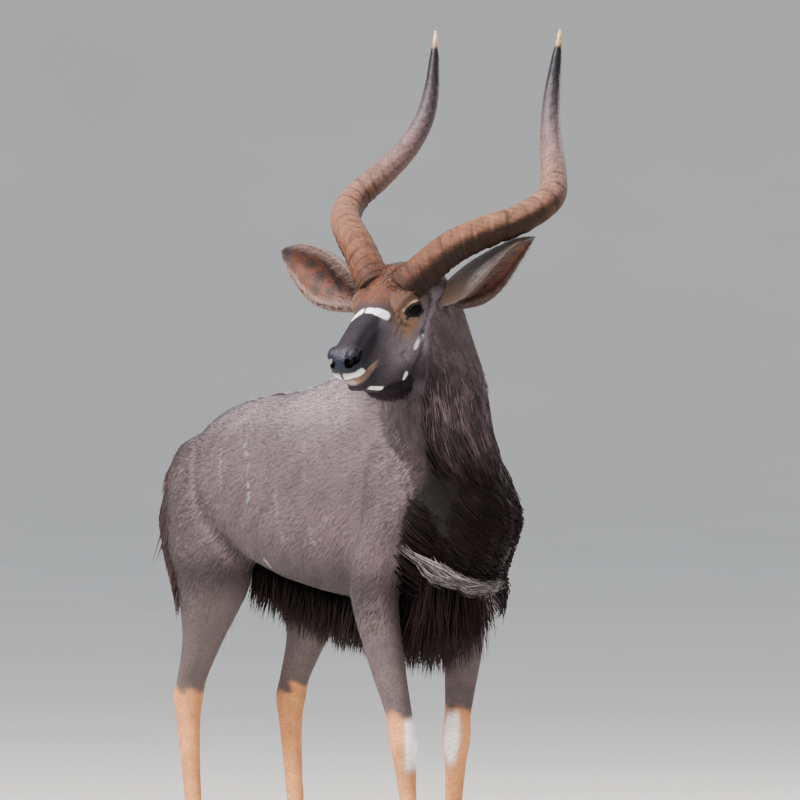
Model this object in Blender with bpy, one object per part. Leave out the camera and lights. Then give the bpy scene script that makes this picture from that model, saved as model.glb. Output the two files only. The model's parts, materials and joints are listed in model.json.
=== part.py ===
"""A life-size nyala bull standing alert, its head turned to its right.

Metres, +Z up. The animal faces -Y, so +X is its left side, and its hooves stand on z = 0.
The flesh is lofted in rings, fused into one skin, and parted with thin plane cuts. Mane, fringe,
crest and tail hair are flat tapered locks that are fused to the part they grow from.
"""

import math
import random

import bmesh
import bpy
import numpy as np
from mathutils import Matrix, Vector
from mathutils.bvhtree import BVHTree

LEFTWARD = Vector((1.0, 0.0, 0.0))
UPWARD = Vector((0.0, 0.0, 1.0))

# Driving sizes of the animal
EAR_LENGTH = 0.224
EYE_RADIUS = 0.0185
LID_THICKNESS = 0.0035

# How the pieces are made and parted
GAP = 0.0003
BODY_VOXEL = 0.006
HEAD_VOXEL = 0.0028
RING_SIDES = 28

# The head's own frame: forward to the nose, left, and up, from the middle of the eyes
HEAD_PLACE = Vector((-0.150, -0.170, 1.184))
HEAD_TURN = math.radians(60)
HEAD_DROP = math.radians(30)

# Trunk rings: y, top, bottom, half width
TRUNK = [
    (-0.262, 0.828, 0.762, 0.028),
    (-0.240, 0.880, 0.705, 0.060),
    (-0.185, 0.965, 0.655, 0.088),
    (-0.100, 1.045, 0.618, 0.112),
    (0.000, 1.086, 0.600, 0.132),
    (0.090, 1.090, 0.596, 0.148),
    (0.220, 1.064, 0.602, 0.168),
    (0.360, 1.034, 0.618, 0.178),
    (0.500, 1.014, 0.645, 0.174),
    (0.620, 1.006, 0.680, 0.166),
    (0.730, 0.985, 0.715, 0.150),
    (0.830, 0.935, 0.765, 0.118),
    (0.885, 0.885, 0.810, 0.070),
]
TRUNK_POWER = 2.25

# Neck rings: centre x, y, z, half width, half depth, share of the head's turn
NECK = [
    (0.000, -0.055, 0.840, 0.098, 0.165, 0.00),
    (-0.004, -0.090, 0.930, 0.098, 0.150, 0.08),
    (-0.011, -0.112, 1.020, 0.099, 0.124, 0.30),
    (-0.031, -0.115, 1.110, 0.090, 0.104, 0.60),
    (-0.054, -0.118, 1.190, 0.078, 0.090, 0.90),
    (-0.072, -0.122, 1.235, 0.062, 0.070, 1.00),
]

# Head rings in the head's frame: forward, top, bottom, half width, squareness
MUZZLE_AND_SKULL = [
    (0.1945, -0.004, -0.026, 0.0120, 2.2),
    (0.1910, 0.004, -0.036, 0.0215, 2.3),
    (0.1830, 0.011, -0.043, 0.0290, 2.4),
    (0.1690, 0.018, -0.048, 0.0320, 2.4),
    (0.1450, 0.024, -0.055, 0.0335, 2.3),
    (0.1130, 0.031, -0.065, 0.0365, 2.2),
    (0.0800, 0.036, -0.077, 0.0430, 2.2),
    (0.0450, 0.044, -0.088, 0.0520, 2.2),
    (0.0100, 0.053, -0.098, 0.0600, 2.2),
    (-0.0300, 0.061, -0.104, 0.0630, 2.3),
    (-0.0700, 0.060, -0.104, 0.0620, 2.3),
    (-0.1080, 0.048, -0.095, 0.0560, 2.2),
    (-0.1320, 0.026, -0.070, 0.0400, 2.0),
]
JAW = [
    (0.1820, -0.042, -0.058, 0.0120, 2.0),
    (0.1740, -0.042, -0.074, 0.0200, 2.2),
    (0.1560, -0.045, -0.090, 0.0240, 2.3),
    (0.1300, -0.050, -0.112, 0.0250, 2.3),
    (0.0970, -0.055, -0.134, 0.0290, 2.2),
    (0.0550, -0.060, -0.150, 0.0370, 2.2),
    (0.0100, -0.060, -0.156, 0.0470, 2.2),
    (-0.0350, -0.050, -0.156, 0.0520, 2.2),
    (-0.0800, -0.040, -0.146, 0.0500, 2.0),
    (-0.1100, -0.040, -0.110, 0.0380, 2.0),
]

# Rounded masses of the head, the left one of each pair: centre and radii in the head's frame
HEAD_MASSES = {
    "brow": ((-0.008, 0.042, 0.020), (0.048, 0.027, 0.025)),
    "eye_bulge": ((-0.004, 0.046, -0.001), (0.040, 0.024, 0.027)),
    "cheekbone": ((0.024, 0.038, -0.030), (0.070, 0.018, 0.018)),
    "jaw_muscle": ((-0.020, 0.034, -0.084), (0.062, 0.024, 0.048)),
    "nostril_wing": ((0.172, 0.0215, -0.001), (0.021, 0.0150, 0.0165)),
    "upper_lip": ((0.162, 0.018, -0.032), (0.034, 0.0160, 0.018)),
    "chin": ((0.150, 0.006, -0.074), (0.030, 0.016, 0.0150)),
    "horn_root": ((-0.062, 0.052, 0.047), (0.048, 0.040, 0.038)),
    "ear_root": ((-0.096, 0.052, 0.000), (0.034, 0.034, 0.034)),
}

# The eye and its opening: place in the head's frame, and where it looks
EYE_PLACE = (-0.004, 0.0555, 0.001)
EYE_LOOK = (0.36, 0.92, 0.12)
EYE_OPENING = (0.0175, 0.0118)
EYE_OPENING_TILT = math.radians(-14)
LID_PLUG = (0.55, 2.0)
LID_CORNER = 0.25

# The horn's middle line in the head's frame, left horn, and its thickness along it
HORN_LINE = [
    (-0.034, 0.029, 0.031),
    (-0.067, 0.060, 0.052),
    (-0.115, 0.104, 0.074),
    (-0.164, 0.150, 0.080),
    (-0.236, 0.207, 0.073),
    (-0.316, 0.231, 0.073),
    (-0.388, 0.204, 0.085),
    (-0.452, 0.1715, 0.108),
    (-0.506, 0.150, 0.142),
    (-0.550, 0.143, 0.184),
    (-0.590, 0.144, 0.229),
    (-0.629, 0.147, 0.277),
]
HORN_RINGS = 25
HORN_SIDES = 10

# Ears: root, direction and the way the cup opens, in the head's frame
EARS = {
    "right": ((-0.067, -0.070, -0.024), (-0.087, -0.876, 0.477), (0.84, -0.02, 0.45)),
    "left": ((-0.101, 0.053, -0.030), (-0.54, 0.79, 0.29), (0.43, 0.61, -0.65)),
}

# Legs from top to coronet: x, y, z, half width, half depth. The near fore foot steps ahead.
FORELEG_SIZES = [
    (0.018, 0.030), (0.040, 0.085), (0.048, 0.098), (0.045, 0.074), (0.037, 0.048),
    (0.0275, 0.0325), (0.0300, 0.0330), (0.0235, 0.0255), (0.0185, 0.0215), (0.0195, 0.0225),
    (0.0245, 0.0275), (0.0210, 0.0230), (0.0255, 0.0270),
]
FORELEG_RIGHT = [
    (-0.050, -0.030, 0.980), (-0.080, -0.070, 0.900), (-0.096, -0.090, 0.780), (-0.110, -0.040, 0.640),
    (-0.104, -0.075, 0.500), (-0.092, -0.112, 0.385), (-0.088, -0.122, 0.335), (-0.086, -0.126, 0.285),
    (-0.083, -0.136, 0.200), (-0.082, -0.144, 0.130), (-0.082, -0.148, 0.102), (-0.082, -0.166, 0.068),
    (-0.082, -0.182, 0.042),
]
FORELEG_LEFT = [
    (0.050, -0.020, 0.980), (0.080, -0.060, 0.900), (0.096, -0.080, 0.780), (0.110, -0.005, 0.640),
    (0.104, -0.006, 0.500), (0.093, -0.006, 0.385), (0.090, -0.006, 0.335), (0.089, -0.004, 0.285),
    (0.087, 0.002, 0.200), (0.086, 0.006, 0.130), (0.086, 0.006, 0.102), (0.086, -0.012, 0.068),
    (0.086, -0.028, 0.042),
]
HINDLEG_SIZES = [
    (0.030, 0.050), (0.064, 0.138), (0.080, 0.170), (0.074, 0.155), (0.062, 0.118),
    (0.0410, 0.0650), (0.0300, 0.0430), (0.0310, 0.0410), (0.0250, 0.0310), (0.0200, 0.0245),
    (0.0205, 0.0240), (0.0250, 0.0285), (0.0210, 0.0230), (0.0255, 0.0270),
]
HINDLEG_RIGHT = [
    (-0.050, 0.690, 0.945), (-0.080, 0.715, 0.900), (-0.096, 0.715, 0.800), (-0.108, 0.698, 0.690),
    (-0.108, 0.695, 0.610), (-0.101, 0.748, 0.515), (-0.096, 0.814, 0.425), (-0.095, 0.834, 0.385),
    (-0.094, 0.836, 0.335), (-0.092, 0.826, 0.220), (-0.091, 0.814, 0.135), (-0.091, 0.810, 0.102),
    (-0.091, 0.790, 0.068), (-0.091, 0.774, 0.042),
]
HINDLEG_LEFT = [
    (0.050, 0.690, 0.945), (0.080, 0.710, 0.900), (0.096, 0.700, 0.800), (0.108, 0.668, 0.690),
    (0.108, 0.648, 0.610), (0.101, 0.676, 0.515), (0.096, 0.728, 0.425), (0.095, 0.744, 0.385),
    (0.094, 0.744, 0.335), (0.092, 0.726, 0.220), (0.091, 0.708, 0.135), (0.091, 0.702, 0.102),
    (0.091, 0.682, 0.068), (0.091, 0.666, 0.042),
]

# The tail, from its root to its tip: x, y, z, half width, half depth
TAIL_DOCK = [
    (0.000, 0.800, 0.915, 0.022, 0.020),
    (0.000, 0.850, 0.895, 0.021, 0.018),
    (0.002, 0.884, 0.840, 0.018, 0.015),
    (0.004, 0.897, 0.760, 0.015, 0.012),
    (0.004, 0.902, 0.680, 0.011, 0.009),
    (0.003, 0.902, 0.610, 0.005, 0.004),
]
# Locks: how wide they are along their length, how deep their roots are sunk, how much they vary
LOCK_SHAPE = ((0.0, 0.75), (0.36, 1.0), (0.74, 0.66), (1.0, 0.08))
LOCK_ROOT = 0.016
LOCK_CLEARANCE = 0.00024
LOCK_VARIATION = 0.18
LOCK_JITTER = 0.09
HAIR_SEED = 14
NECK_READINGS = 40

# Each kind of lock: length, width and thickness. How it lies at its root and falls at its tip is
# a share of the skin's outward direction and a set direction that is added to it.
THROAT_LOCK = (0.110, 0.078, 0.014)
THROAT_LIE = (0.14, (0.14, -0.02, -0.95))
THROAT_FALL = (0.00, (0.24, -0.04, -0.95))
CHEST_LOCK = (0.128, 0.082, 0.015)
CHEST_LIE = (0.16, (0.12, -0.02, -0.95))
CHEST_FALL = (0.00, (0.40, -0.06, -0.90))
BELLY_LOCK = (0.115, 0.098, 0.015)
BELLY_LIE = (0.00, (0.00, 0.10, -1.00))
BELLY_FALL = (0.00, (0.00, 0.35, -1.00))
CREST_LOCK = (0.090, 0.034, 0.010)
CREST_LIE = (0.00, (0.00, 0.97, 0.20))
CREST_FALL = (0.00, (0.00, 1.00, -0.12))
NAPE_LIE = (0.60, (0.00, 0.00, -0.60))
NAPE_FALL = (0.25, (0.00, 0.00, -1.00))
THIGH_LOCK = (0.095, 0.052, 0.014)
THIGH_LIE = (0.28, (0.00, 0.00, -0.90))
THIGH_FALL = (0.00, (0.00, 0.25, -1.00))
TAIL_LOCK = (0.170, 0.070, 0.020)
TAIL_LIE = (0.40, (0.00, 0.00, -1.00))
TAIL_FALL = (0.05, (0.00, 0.00, -1.00))

# Rows of the throat mane and of the breast hair, locks in a row, and how far round they go
THROAT_HEIGHTS = (1.060, 0.995, 0.935, 0.880)
THROAT_COLUMNS = 4
THROAT_SPAN = (math.radians(75), math.radians(32))
CHEST_HEIGHTS = (0.805, 0.742, 0.680)
CHEST_COLUMNS = 4
CHEST_SPAN = (math.radians(64), math.radians(46))
CHEST_MIDDLE_Y = -0.10
NAPE_HEIGHTS = (1.175, 1.115)

# Where the belly fringe and the crest run along the body on each part of the torso
BELLY_STEP = 0.076
BELLY_HALF_WIDTH = 0.022
BELLY_SPLAY = 0.12
BRISKET = (-0.17, 0.15)
BELLY = (0.17, 0.45)
GROIN = (0.46, 0.60)
CREST_STEP = 0.062
CREST_SPLAY = 0.20
WITHERS = (0.00, 0.15)
BACK = (0.16, 0.45)
RUMP = (0.45, 0.82)
BODY_MIDDLE_Z = 0.85

# Hair down the back of each thigh, and round the tail
THIGH_HEIGHTS = (0.80, 0.715)
THIGH_INSETS = (0.055, 0.095)
THIGH_STAGGER = 0.02
THIGH_MIDDLE_Y = 0.70
THIGH_OUTWARD = 0.25
TAIL_READINGS = (0.22, 0.60, 1.0)
TAIL_AROUND = 3
TAIL_FLAT = -0.35
TAIL_DEPTH = 0.6

# Where the body is parted: a place on each plane and the direction across it
POLL_CUT = ((-0.150, 0.0, 0.040), (0.946, 0.0, 0.323))
THROAT_CUT = ((-0.090, 0.0, -0.152), (0.156, 0.0, 0.988))
HEAD_ROOM = (1.0, 1.0, 1.0)
NECK_CUT = ((0.0, -0.140, 0.930), (0.0, -0.735, 0.678))
FRONT_CUT_Y = 0.165
REAR_CUT_Y = 0.455
FORELEG_CUT_Z = 0.578
HINDLEG_CUT_Z = 0.632
KNEE_CUT_Z = 0.335
HOCK_CUT_Z = 0.372
HOOF_CUT_Z = 0.045
MIDDLE = 0.0

# Hoof claws: across the toe pair and along the foot
CLAW_SPREAD = 0.0135
CLAW_TOP = (0.0122, 0.0265)
CLAW_SOLE = (0.0134, 0.0315)
CLAW_FORWARD = 0.010
CLAW_TAPER = 0.42
CLAW_RINGS = (0.0, 0.35, 0.75, 1.0)

# How finely each form is made
TAIL_RINGS = 10
TAIL_SIDES = 10
MERGE = 0.00002
TRUNK_RINGS = 30
TRUNK_NARROWING = 0.16
NECK_RINGS = 12
HEAD_RINGS = 26
LEG_RINGS = 26
BODY_SMOOTHING = 6
BODY_TRIANGLES = 2600
HEAD_SMOOTHING = 5
HEAD_TRIANGLES = 1600
LID_SEGMENTS = 16
EYE_SEGMENTS = 14
EYE_OPENING_SIDES = 14
CLAW_SIDES = 10
SHARP_ANGLE = math.radians(40)

# Nostrils and mouth in the head's frame
NOSTRIL = [
    ((0.1855, 0.0190, -0.0050), (0.0130, 0.0088, 0.0105)),
    ((0.1785, 0.0275, 0.0010), (0.0130, 0.0078, 0.0088)),
]
NOSTRIL_SEGMENTS = 12
MOUTH_LINE = [
    (0.122, 0.0400, -0.0510),
    (0.143, 0.0385, -0.0510),
    (0.165, 0.0345, -0.0480),
    (0.179, 0.0240, -0.0440),
    (0.188, 0.0000, -0.0430),
]
MOUTH_MIDDLE = 0.134
MOUTH_DEPTH = 0.0075
MOUTH_GAP = 0.0013
MOUTH_RINGS = 9
MOUTH_SIDES = 6

# Horn thickness at shares of its length, its keel and its turn
HORN_SHARES = (0.0, 0.25, 0.50, 0.65, 0.80, 0.92, 1.0)
HORN_RADII = (0.0355, 0.0320, 0.0270, 0.0225, 0.0165, 0.0100, 0.0030)
HORN_KEEL = 0.10
HORN_TWIST = math.radians(300)

# Ear shape from root to tip: share of the length, half width, half angle of the curl
EAR_SHAPE = [
    (0.00, 0.020, math.radians(140)),
    (0.15, 0.036, math.radians(126)),
    (0.32, 0.050, math.radians(112)),
    (0.50, 0.053, math.radians(98)),
    (0.68, 0.047, math.radians(82)),
    (0.84, 0.034, math.radians(66)),
    (0.95, 0.016, math.radians(56)),
    (1.00, 0.004, math.radians(52)),
]
EAR_RINGS = 9
EAR_COLUMNS = 8
EAR_THICKNESS = 0.0040
EAR_RIM_THINNING = 1.2
EAR_RIM_INSET = 0.985
EAR_LEAN = 0.55

# Colour and roughness of each kind of piece
COATS = {
    "fur": ((0.105, 0.085, 0.075), 0.85),
    "horn": ((0.210, 0.130, 0.095), 0.45),
    "ear": ((0.230, 0.120, 0.075), 0.85),
    "eye": ((0.010, 0.007, 0.006), 0.08),
    "hoof": ((0.025, 0.022, 0.020), 0.45),
}


def clear_scene():
    for item in list(bpy.data.objects):
        bpy.data.objects.remove(item, do_unlink=True)


def coat(name, colour, roughness):
    material = bpy.data.materials.new(name)
    material.use_nodes = True
    shader = material.node_tree.nodes["Principled BSDF"]
    shader.inputs["Base Color"].default_value = (*colour, 1.0)
    shader.inputs["Roughness"].default_value = roughness
    return material


def smooth_rows(rows, count):
    """Rows of numbers read at even steps along a smooth curve through the given rows."""
    rows = np.array(rows, dtype=float)
    padded = np.vstack([2 * rows[0] - rows[1], rows, 2 * rows[-1] - rows[-2]])
    result = []
    for place in np.linspace(0, len(rows) - 1, count):
        step = min(int(place), len(rows) - 2)
        t = place - step
        a, b, c, d = padded[step:step + 4]
        bend = (2 * a - 5 * b + 4 * c - d) * t ** 2 + (3 * b - a - 3 * c + d) * t ** 3
        result.append(0.5 * (2 * b + (c - a) * t + bend))
    return np.array(result)


def section(centre, across, up, half_width, half_height, power=2.0, narrowing=0.0, sides=RING_SIDES):
    """One closed ring of points, a squarish oval that may narrow towards its top."""
    points = []
    for number in range(sides):
        angle = 2 * math.pi * number / sides
        side = math.copysign(abs(math.cos(angle)) ** (2 / power), math.cos(angle))
        rise = math.copysign(abs(math.sin(angle)) ** (2 / power), math.sin(angle))
        reach = half_width * side * (1 - narrowing * rise)
        points.append(Vector(centre) + across * reach + up * half_height * rise)
    return points


def add_loop(bm, points):
    verts = [bm.verts.new(point) for point in points]
    return [bm.edges.new((verts[number - 1], verts[number])) for number in range(len(verts))]


def loft(rings):
    """A closed mesh through the rings, with flat ends."""
    bm = bmesh.new()
    loops = [add_loop(bm, ring) for ring in rings]
    for near, far in zip(loops, loops[1:]):
        bmesh.ops.bridge_loops(bm, edges=near + far)
    for end in (loops[0], loops[-1]):
        bmesh.ops.edgeloop_fill(bm, edges=end)
    bmesh.ops.recalc_face_normals(bm, faces=bm.faces)
    mesh = bpy.data.meshes.new("loft")
    bm.to_mesh(mesh)
    bm.free()
    return mesh


def tube(rows, count, across=LEFTWARD, level=False, sides=RING_SIDES, power=2.0):
    """A loft along a line of x, y, z, half width and half depth."""
    rows = smooth_rows(rows, count)
    rings = []
    for number, row in enumerate(rows):
        ahead = Vector(rows[min(number + 1, count - 1)][:3]) - Vector(rows[max(number - 1, 0)][:3])
        along = Vector((0, 0, -1)) if level else ahead.normalized()
        side = (across - along * across.dot(along)).normalized()
        rings.append(section(row[:3], side, along.cross(side), row[3], row[4], power, 0.0, sides))
    return loft(rings)


def ball(centre, radii, turn=Matrix.Identity(3), segments=24):
    bm = bmesh.new()
    bmesh.ops.create_uvsphere(bm, u_segments=segments, v_segments=segments // 2, radius=1.0)
    scale = Matrix.Diagonal((*radii, 1.0))
    bmesh.ops.transform(bm, matrix=Matrix.Translation(centre) @ turn.to_4x4() @ scale, verts=bm.verts)
    mesh = bpy.data.meshes.new("ball")
    bm.to_mesh(mesh)
    bm.free()
    return mesh


def joined(meshes):
    """One mesh that holds all of the meshes, still as separate shells."""
    bm = bmesh.new()
    for mesh in meshes:
        bm.from_mesh(mesh)
    mesh = bpy.data.meshes.new("joined")
    bm.to_mesh(mesh)
    bm.free()
    return mesh


def in_scene(mesh, name="tool"):
    item = bpy.data.objects.new(name, mesh)
    bpy.context.scene.collection.objects.link(item)
    return item


def settled(item):
    """The object's mesh as its modifiers leave it, and the object removed."""
    bpy.context.view_layer.update()
    graph = bpy.context.evaluated_depsgraph_get()
    mesh = bpy.data.meshes.new_from_object(item.evaluated_get(graph))
    bpy.data.objects.remove(item, do_unlink=True)
    return mesh


def one_skin(meshes, voxel, rounds, triangles):
    """The meshes fused into one rounded skin of about so many triangles."""
    item = in_scene(joined(meshes))
    remesh = item.modifiers.new("fuse", "REMESH")
    remesh.mode = "VOXEL"
    remesh.voxel_size = voxel
    smooth = item.modifiers.new("round", "SMOOTH")
    smooth.iterations = rounds
    smooth.factor = 0.5
    dense = settled(item)
    item = in_scene(dense)
    thin = item.modifiers.new("thin", "DECIMATE")
    thin.ratio = triangles / (2 * len(dense.polygons))
    return settled(item)


def combined(mesh, tools, operation):
    """The mesh with the tool meshes added to it or cut from it in one step."""
    item = in_scene(mesh)
    group = bpy.data.collections.new("tools")
    bpy.context.scene.collection.children.link(group)
    for tool in tools:
        group.objects.link(bpy.data.objects.new("tool", tool))
    change = item.modifiers.new("combine", "BOOLEAN")
    change.operation = operation
    change.operand_type = "COLLECTION"
    change.collection = group
    change.solver = "MANIFOLD"
    mesh = settled(item)
    for tool in list(group.objects):
        bpy.data.objects.remove(tool, do_unlink=True)
    bpy.data.collections.remove(group)
    return mesh


def grown(mesh, distance):
    """A copy of the mesh swollen along its normals."""
    item = in_scene(mesh.copy())
    swell = item.modifiers.new("grow", "DISPLACE")
    swell.strength = distance
    swell.mid_level = 0.0
    return settled(item)


def largest(mesh):
    """The mesh with only its largest closed surface kept."""
    bm = bmesh.new()
    bm.from_mesh(mesh)
    bmesh.ops.triangulate(bm, faces=bm.faces)
    waiting = set(bm.faces)
    shells = []
    while waiting:
        shell = [waiting.pop()]
        for face in shell:
            for edge in face.edges:
                for beside in edge.link_faces:
                    if beside in waiting:
                        waiting.remove(beside)
                        shell.append(beside)
        shells.append(shell)
    keep = set(max(shells, key=len))
    bmesh.ops.delete(bm, geom=[face for face in bm.faces if face not in keep], context="FACES")
    bmesh.ops.recalc_face_normals(bm, faces=bm.faces)
    result = bpy.data.meshes.new("piece")
    bm.to_mesh(result)
    bm.free()
    return result


def sliced(mesh, planes):
    """The part of the mesh in front of every plane, each cut closed with a flat face."""
    bm = bmesh.new()
    bm.from_mesh(mesh)
    for place, normal in planes:
        across = Vector(normal).normalized()
        cut = bmesh.ops.bisect_plane(
            bm,
            geom=bm.verts[:] + bm.edges[:] + bm.faces[:],
            plane_co=Vector(place) + across * GAP / 2,
            plane_no=-across,
            clear_outer=True,
        )
        rim = [part for part in cut["geom_cut"] if isinstance(part, bmesh.types.BMEdge)]
        bmesh.ops.edgeloop_fill(bm, edges=rim)
        bmesh.ops.remove_doubles(bm, verts=bm.verts, dist=MERGE)
    result = bpy.data.meshes.new("slice")
    bm.to_mesh(result)
    bm.free()
    return largest(result)


def head_axes():
    """Unit vectors to the nose, to the head's left and up through its forehead."""
    nose = Vector((
        -math.sin(HEAD_TURN) * math.cos(HEAD_DROP),
        -math.cos(HEAD_TURN) * math.cos(HEAD_DROP),
        -math.sin(HEAD_DROP),
    ))
    left = Vector((math.cos(HEAD_TURN), -math.sin(HEAD_TURN), 0.0))
    return nose, left, nose.cross(left)


def head_matrix():
    columns = head_axes()
    return Matrix(columns).transposed()


def head_place(forward, left, up):
    return HEAD_PLACE + head_matrix() @ Vector((forward, left, up))


def head_planes(widening=0.0):
    """The planes behind the poll and under the throat, each with the way into the head."""
    planes = []
    for place, way in (POLL_CUT, THROAT_CUT):
        across = head_matrix() @ Vector(way)
        planes.append((head_place(*place) - across * widening, across))
    return planes


def mirrored(place, side):
    return (place[0], place[1] * side, place[2])


def trunk():
    rings = []
    for y, top, bottom, half_width in smooth_rows(TRUNK, TRUNK_RINGS):
        centre = (0.0, y, (top + bottom) / 2)
        half_height = (top - bottom) / 2
        rings.append(section(
            centre, LEFTWARD, UPWARD, half_width, half_height, TRUNK_POWER, TRUNK_NARROWING
        ))
    return loft(rings)


def neck():
    rows = smooth_rows(NECK, NECK_RINGS)
    rings = []
    for number, row in enumerate(rows):
        along = Vector(rows[min(number + 1, NECK_RINGS - 1)][:3]) - Vector(rows[max(number - 1, 0)][:3])
        along.normalize()
        turn = HEAD_TURN * row[5]
        side = Vector((math.cos(turn), -math.sin(turn), 0.0))
        side = (side - along * side.dot(along)).normalized()
        rings.append(section(row[:3], side, along.cross(side), row[3], row[4]))
    return loft(rings)


def head_loft(rows):
    _, left, up = head_axes()
    rings = []
    for forward, top, bottom, half_width, power in smooth_rows(rows, HEAD_RINGS):
        centre = head_place(forward, 0.0, (top + bottom) / 2)
        rings.append(section(centre, left, up, half_width, (top - bottom) / 2, power))
    return loft(rings)


def leg(places, sizes):
    rows = [(*place, *size) for place, size in zip(places, sizes)]
    return tube(rows, LEG_RINGS, level=True)


def head_masses():
    masses = []
    for centre, radii in HEAD_MASSES.values():
        for side in (1, -1):
            masses.append(ball(head_place(*mirrored(centre, side)), radii, head_matrix()))
    return masses


def nostril_tools():
    tools = []
    for side in (1, -1):
        for place, radii in NOSTRIL:
            tools.append(ball(head_place(*mirrored(place, side)), radii, head_matrix(), NOSTRIL_SEGMENTS))
    return tools


def mouth_tool():
    """A thin blade that runs round the muzzle at the lips, from one corner to the other."""
    rings = []
    half = smooth_rows(MOUTH_LINE, MOUTH_RINGS)
    line = [mirrored(row, 1) for row in half] + [mirrored(row, -1) for row in half[::-1][1:]]
    _, _, up = head_axes()
    for forward, left, rise in line:
        lip = head_place(forward, left, rise)
        inward = (head_place(MOUTH_MIDDLE, 0.0, rise) - lip).normalized()
        rings.append(section(lip, inward, up, MOUTH_DEPTH, MOUTH_GAP, sides=MOUTH_SIDES))
    return loft(rings)


def eye_axes(side):
    """Unit vectors of one eye: where it looks, along its opening, and up."""
    look = (head_matrix() @ Vector(mirrored(EYE_LOOK, side))).normalized()
    nose, _, _ = head_axes()
    along = (nose - look * nose.dot(look)).normalized()
    rise = look.cross(along) * side
    turn = Matrix.Rotation(EYE_OPENING_TILT * side, 3, look)
    return look, turn @ along, turn @ rise


def eye_opening(side):
    """An almond-shaped plug through the lids."""
    look, along, rise = eye_axes(side)
    middle = head_place(*mirrored(EYE_PLACE, side))
    rings = []
    for reach in (EYE_RADIUS * LID_PLUG[0], EYE_RADIUS * LID_PLUG[1]):
        points = []
        for number in range(EYE_OPENING_SIDES):
            angle = 2 * math.pi * number / EYE_OPENING_SIDES
            height = EYE_OPENING[1] * math.sin(angle) * (1 - LID_CORNER * abs(math.cos(angle)))
            points.append(middle + look * reach + along * EYE_OPENING[0] * math.cos(angle) + rise * height)
        rings.append(points)
    return loft(rings)


def head_skin(parts):
    """The head with its lids, eye sockets, nostrils and the line of its mouth."""
    skin = one_skin(parts, HEAD_VOXEL, HEAD_SMOOTHING, HEAD_TRIANGLES)
    skin = sliced(skin, head_planes())
    lids = []
    hollows = [mouth_tool(), *nostril_tools()]
    for side in (1, -1):
        middle = head_place(*mirrored(EYE_PLACE, side))
        lid = EYE_RADIUS + LID_THICKNESS
        lids.append(ball(middle, (lid, lid, lid), head_matrix(), LID_SEGMENTS))
        socket = EYE_RADIUS + GAP
        hollows.append(ball(middle, (socket, socket, socket), head_matrix(), EYE_SEGMENTS))
        hollows.append(eye_opening(side))
    skin = combined(skin, lids, "UNION")
    return largest(combined(skin, hollows, "DIFFERENCE"))


def horn(side, head):
    """One horn, a keeled spiral with low rings, cut clear of the head at its root."""
    rows = smooth_rows(HORN_LINE, HORN_RINGS)
    rings = []
    axes = head_matrix()
    for number, row in enumerate(rows):
        share = number / (HORN_RINGS - 1)
        radius = np.interp(share, HORN_SHARES, HORN_RADII)
        middle = head_place(*mirrored(row, side))
        ahead = rows[min(number + 1, HORN_RINGS - 1)] - rows[max(number - 1, 0)]
        along = (axes @ Vector(mirrored(ahead, side))).normalized()
        level = axes @ Vector((0.0, side, 0.0))
        across = (level - along * level.dot(along)).normalized()
        points = []
        for corner in range(HORN_SIDES):
            angle = 2 * math.pi * corner / HORN_SIDES
            keel = 1 + HORN_KEEL * math.cos(angle - HORN_TWIST * share * side) * (1 - share)
            points.append(
                middle + (across * math.cos(angle) + along.cross(across) * math.sin(angle)) * radius * keel
            )
        rings.append(points)
    return largest(combined(loft(rings), [grown(head, GAP)], "DIFFERENCE"))


def ear(side_name, neighbours):
    """One ear, a leaf curled into a cup, cut clear of the head, the neck and the horn beside it."""
    root, direction, opening = (Vector(value) for value in EARS[side_name])
    axes = head_matrix()
    along = (axes @ direction).normalized()
    open_way = axes @ opening
    open_way = (open_way - along * open_way.dot(along)).normalized()
    across = along.cross(open_way)
    rings = []
    for share, half_width, curl in smooth_rows(EAR_SHAPE, EAR_RINGS):
        radius = half_width / math.sin(min(curl, math.pi / 2))
        middle = head_place(*root) + along * EAR_LENGTH * share + open_way * radius * EAR_LEAN
        angles = np.linspace(-curl, curl, EAR_COLUMNS)
        outer = [(radius, angle) for angle in angles]
        thinning = [EAR_THICKNESS * math.cos(angle / curl * EAR_RIM_THINNING) for angle in angles[::-1]]
        inner = [(radius - depth, angle * EAR_RIM_INSET) for depth, angle in zip(thinning, angles[::-1])]
        points = [
            middle + across * reach * math.sin(angle) - open_way * reach * math.cos(angle)
            for reach, angle in outer + inner
        ]
        rings.append(points)
    return largest(combined(loft(rings), [grown(other, GAP) for other in neighbours], "DIFFERENCE"))


def eye(side):
    middle = head_place(*mirrored(EYE_PLACE, side))
    return ball(middle, (EYE_RADIUS, EYE_RADIUS, EYE_RADIUS), head_matrix(), EYE_SEGMENTS)


def claw(foot, side):
    """One hoof claw, wider and longer at its flat sole than at its top."""
    rings = []
    for share in CLAW_RINGS:
        half_width = CLAW_TOP[0] + (CLAW_SOLE[0] - CLAW_TOP[0]) * share
        half_length = CLAW_TOP[1] + (CLAW_SOLE[1] - CLAW_TOP[1]) * share
        height = (HOOF_CUT_Z - GAP / 2) * (1 - share)
        points = []
        for number in range(CLAW_SIDES):
            angle = 2 * math.pi * number / CLAW_SIDES
            forward = math.sin(angle)
            narrow = 1 - CLAW_TAPER * max(forward, 0.0) ** 2
            x = foot[0] + side * (CLAW_SPREAD + half_width * (math.cos(angle) * narrow))
            y = foot[1] - CLAW_FORWARD * share - half_length * forward
            points.append(Vector((x, y, height)))
        rings.append(points)
    return loft(rings)


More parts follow.
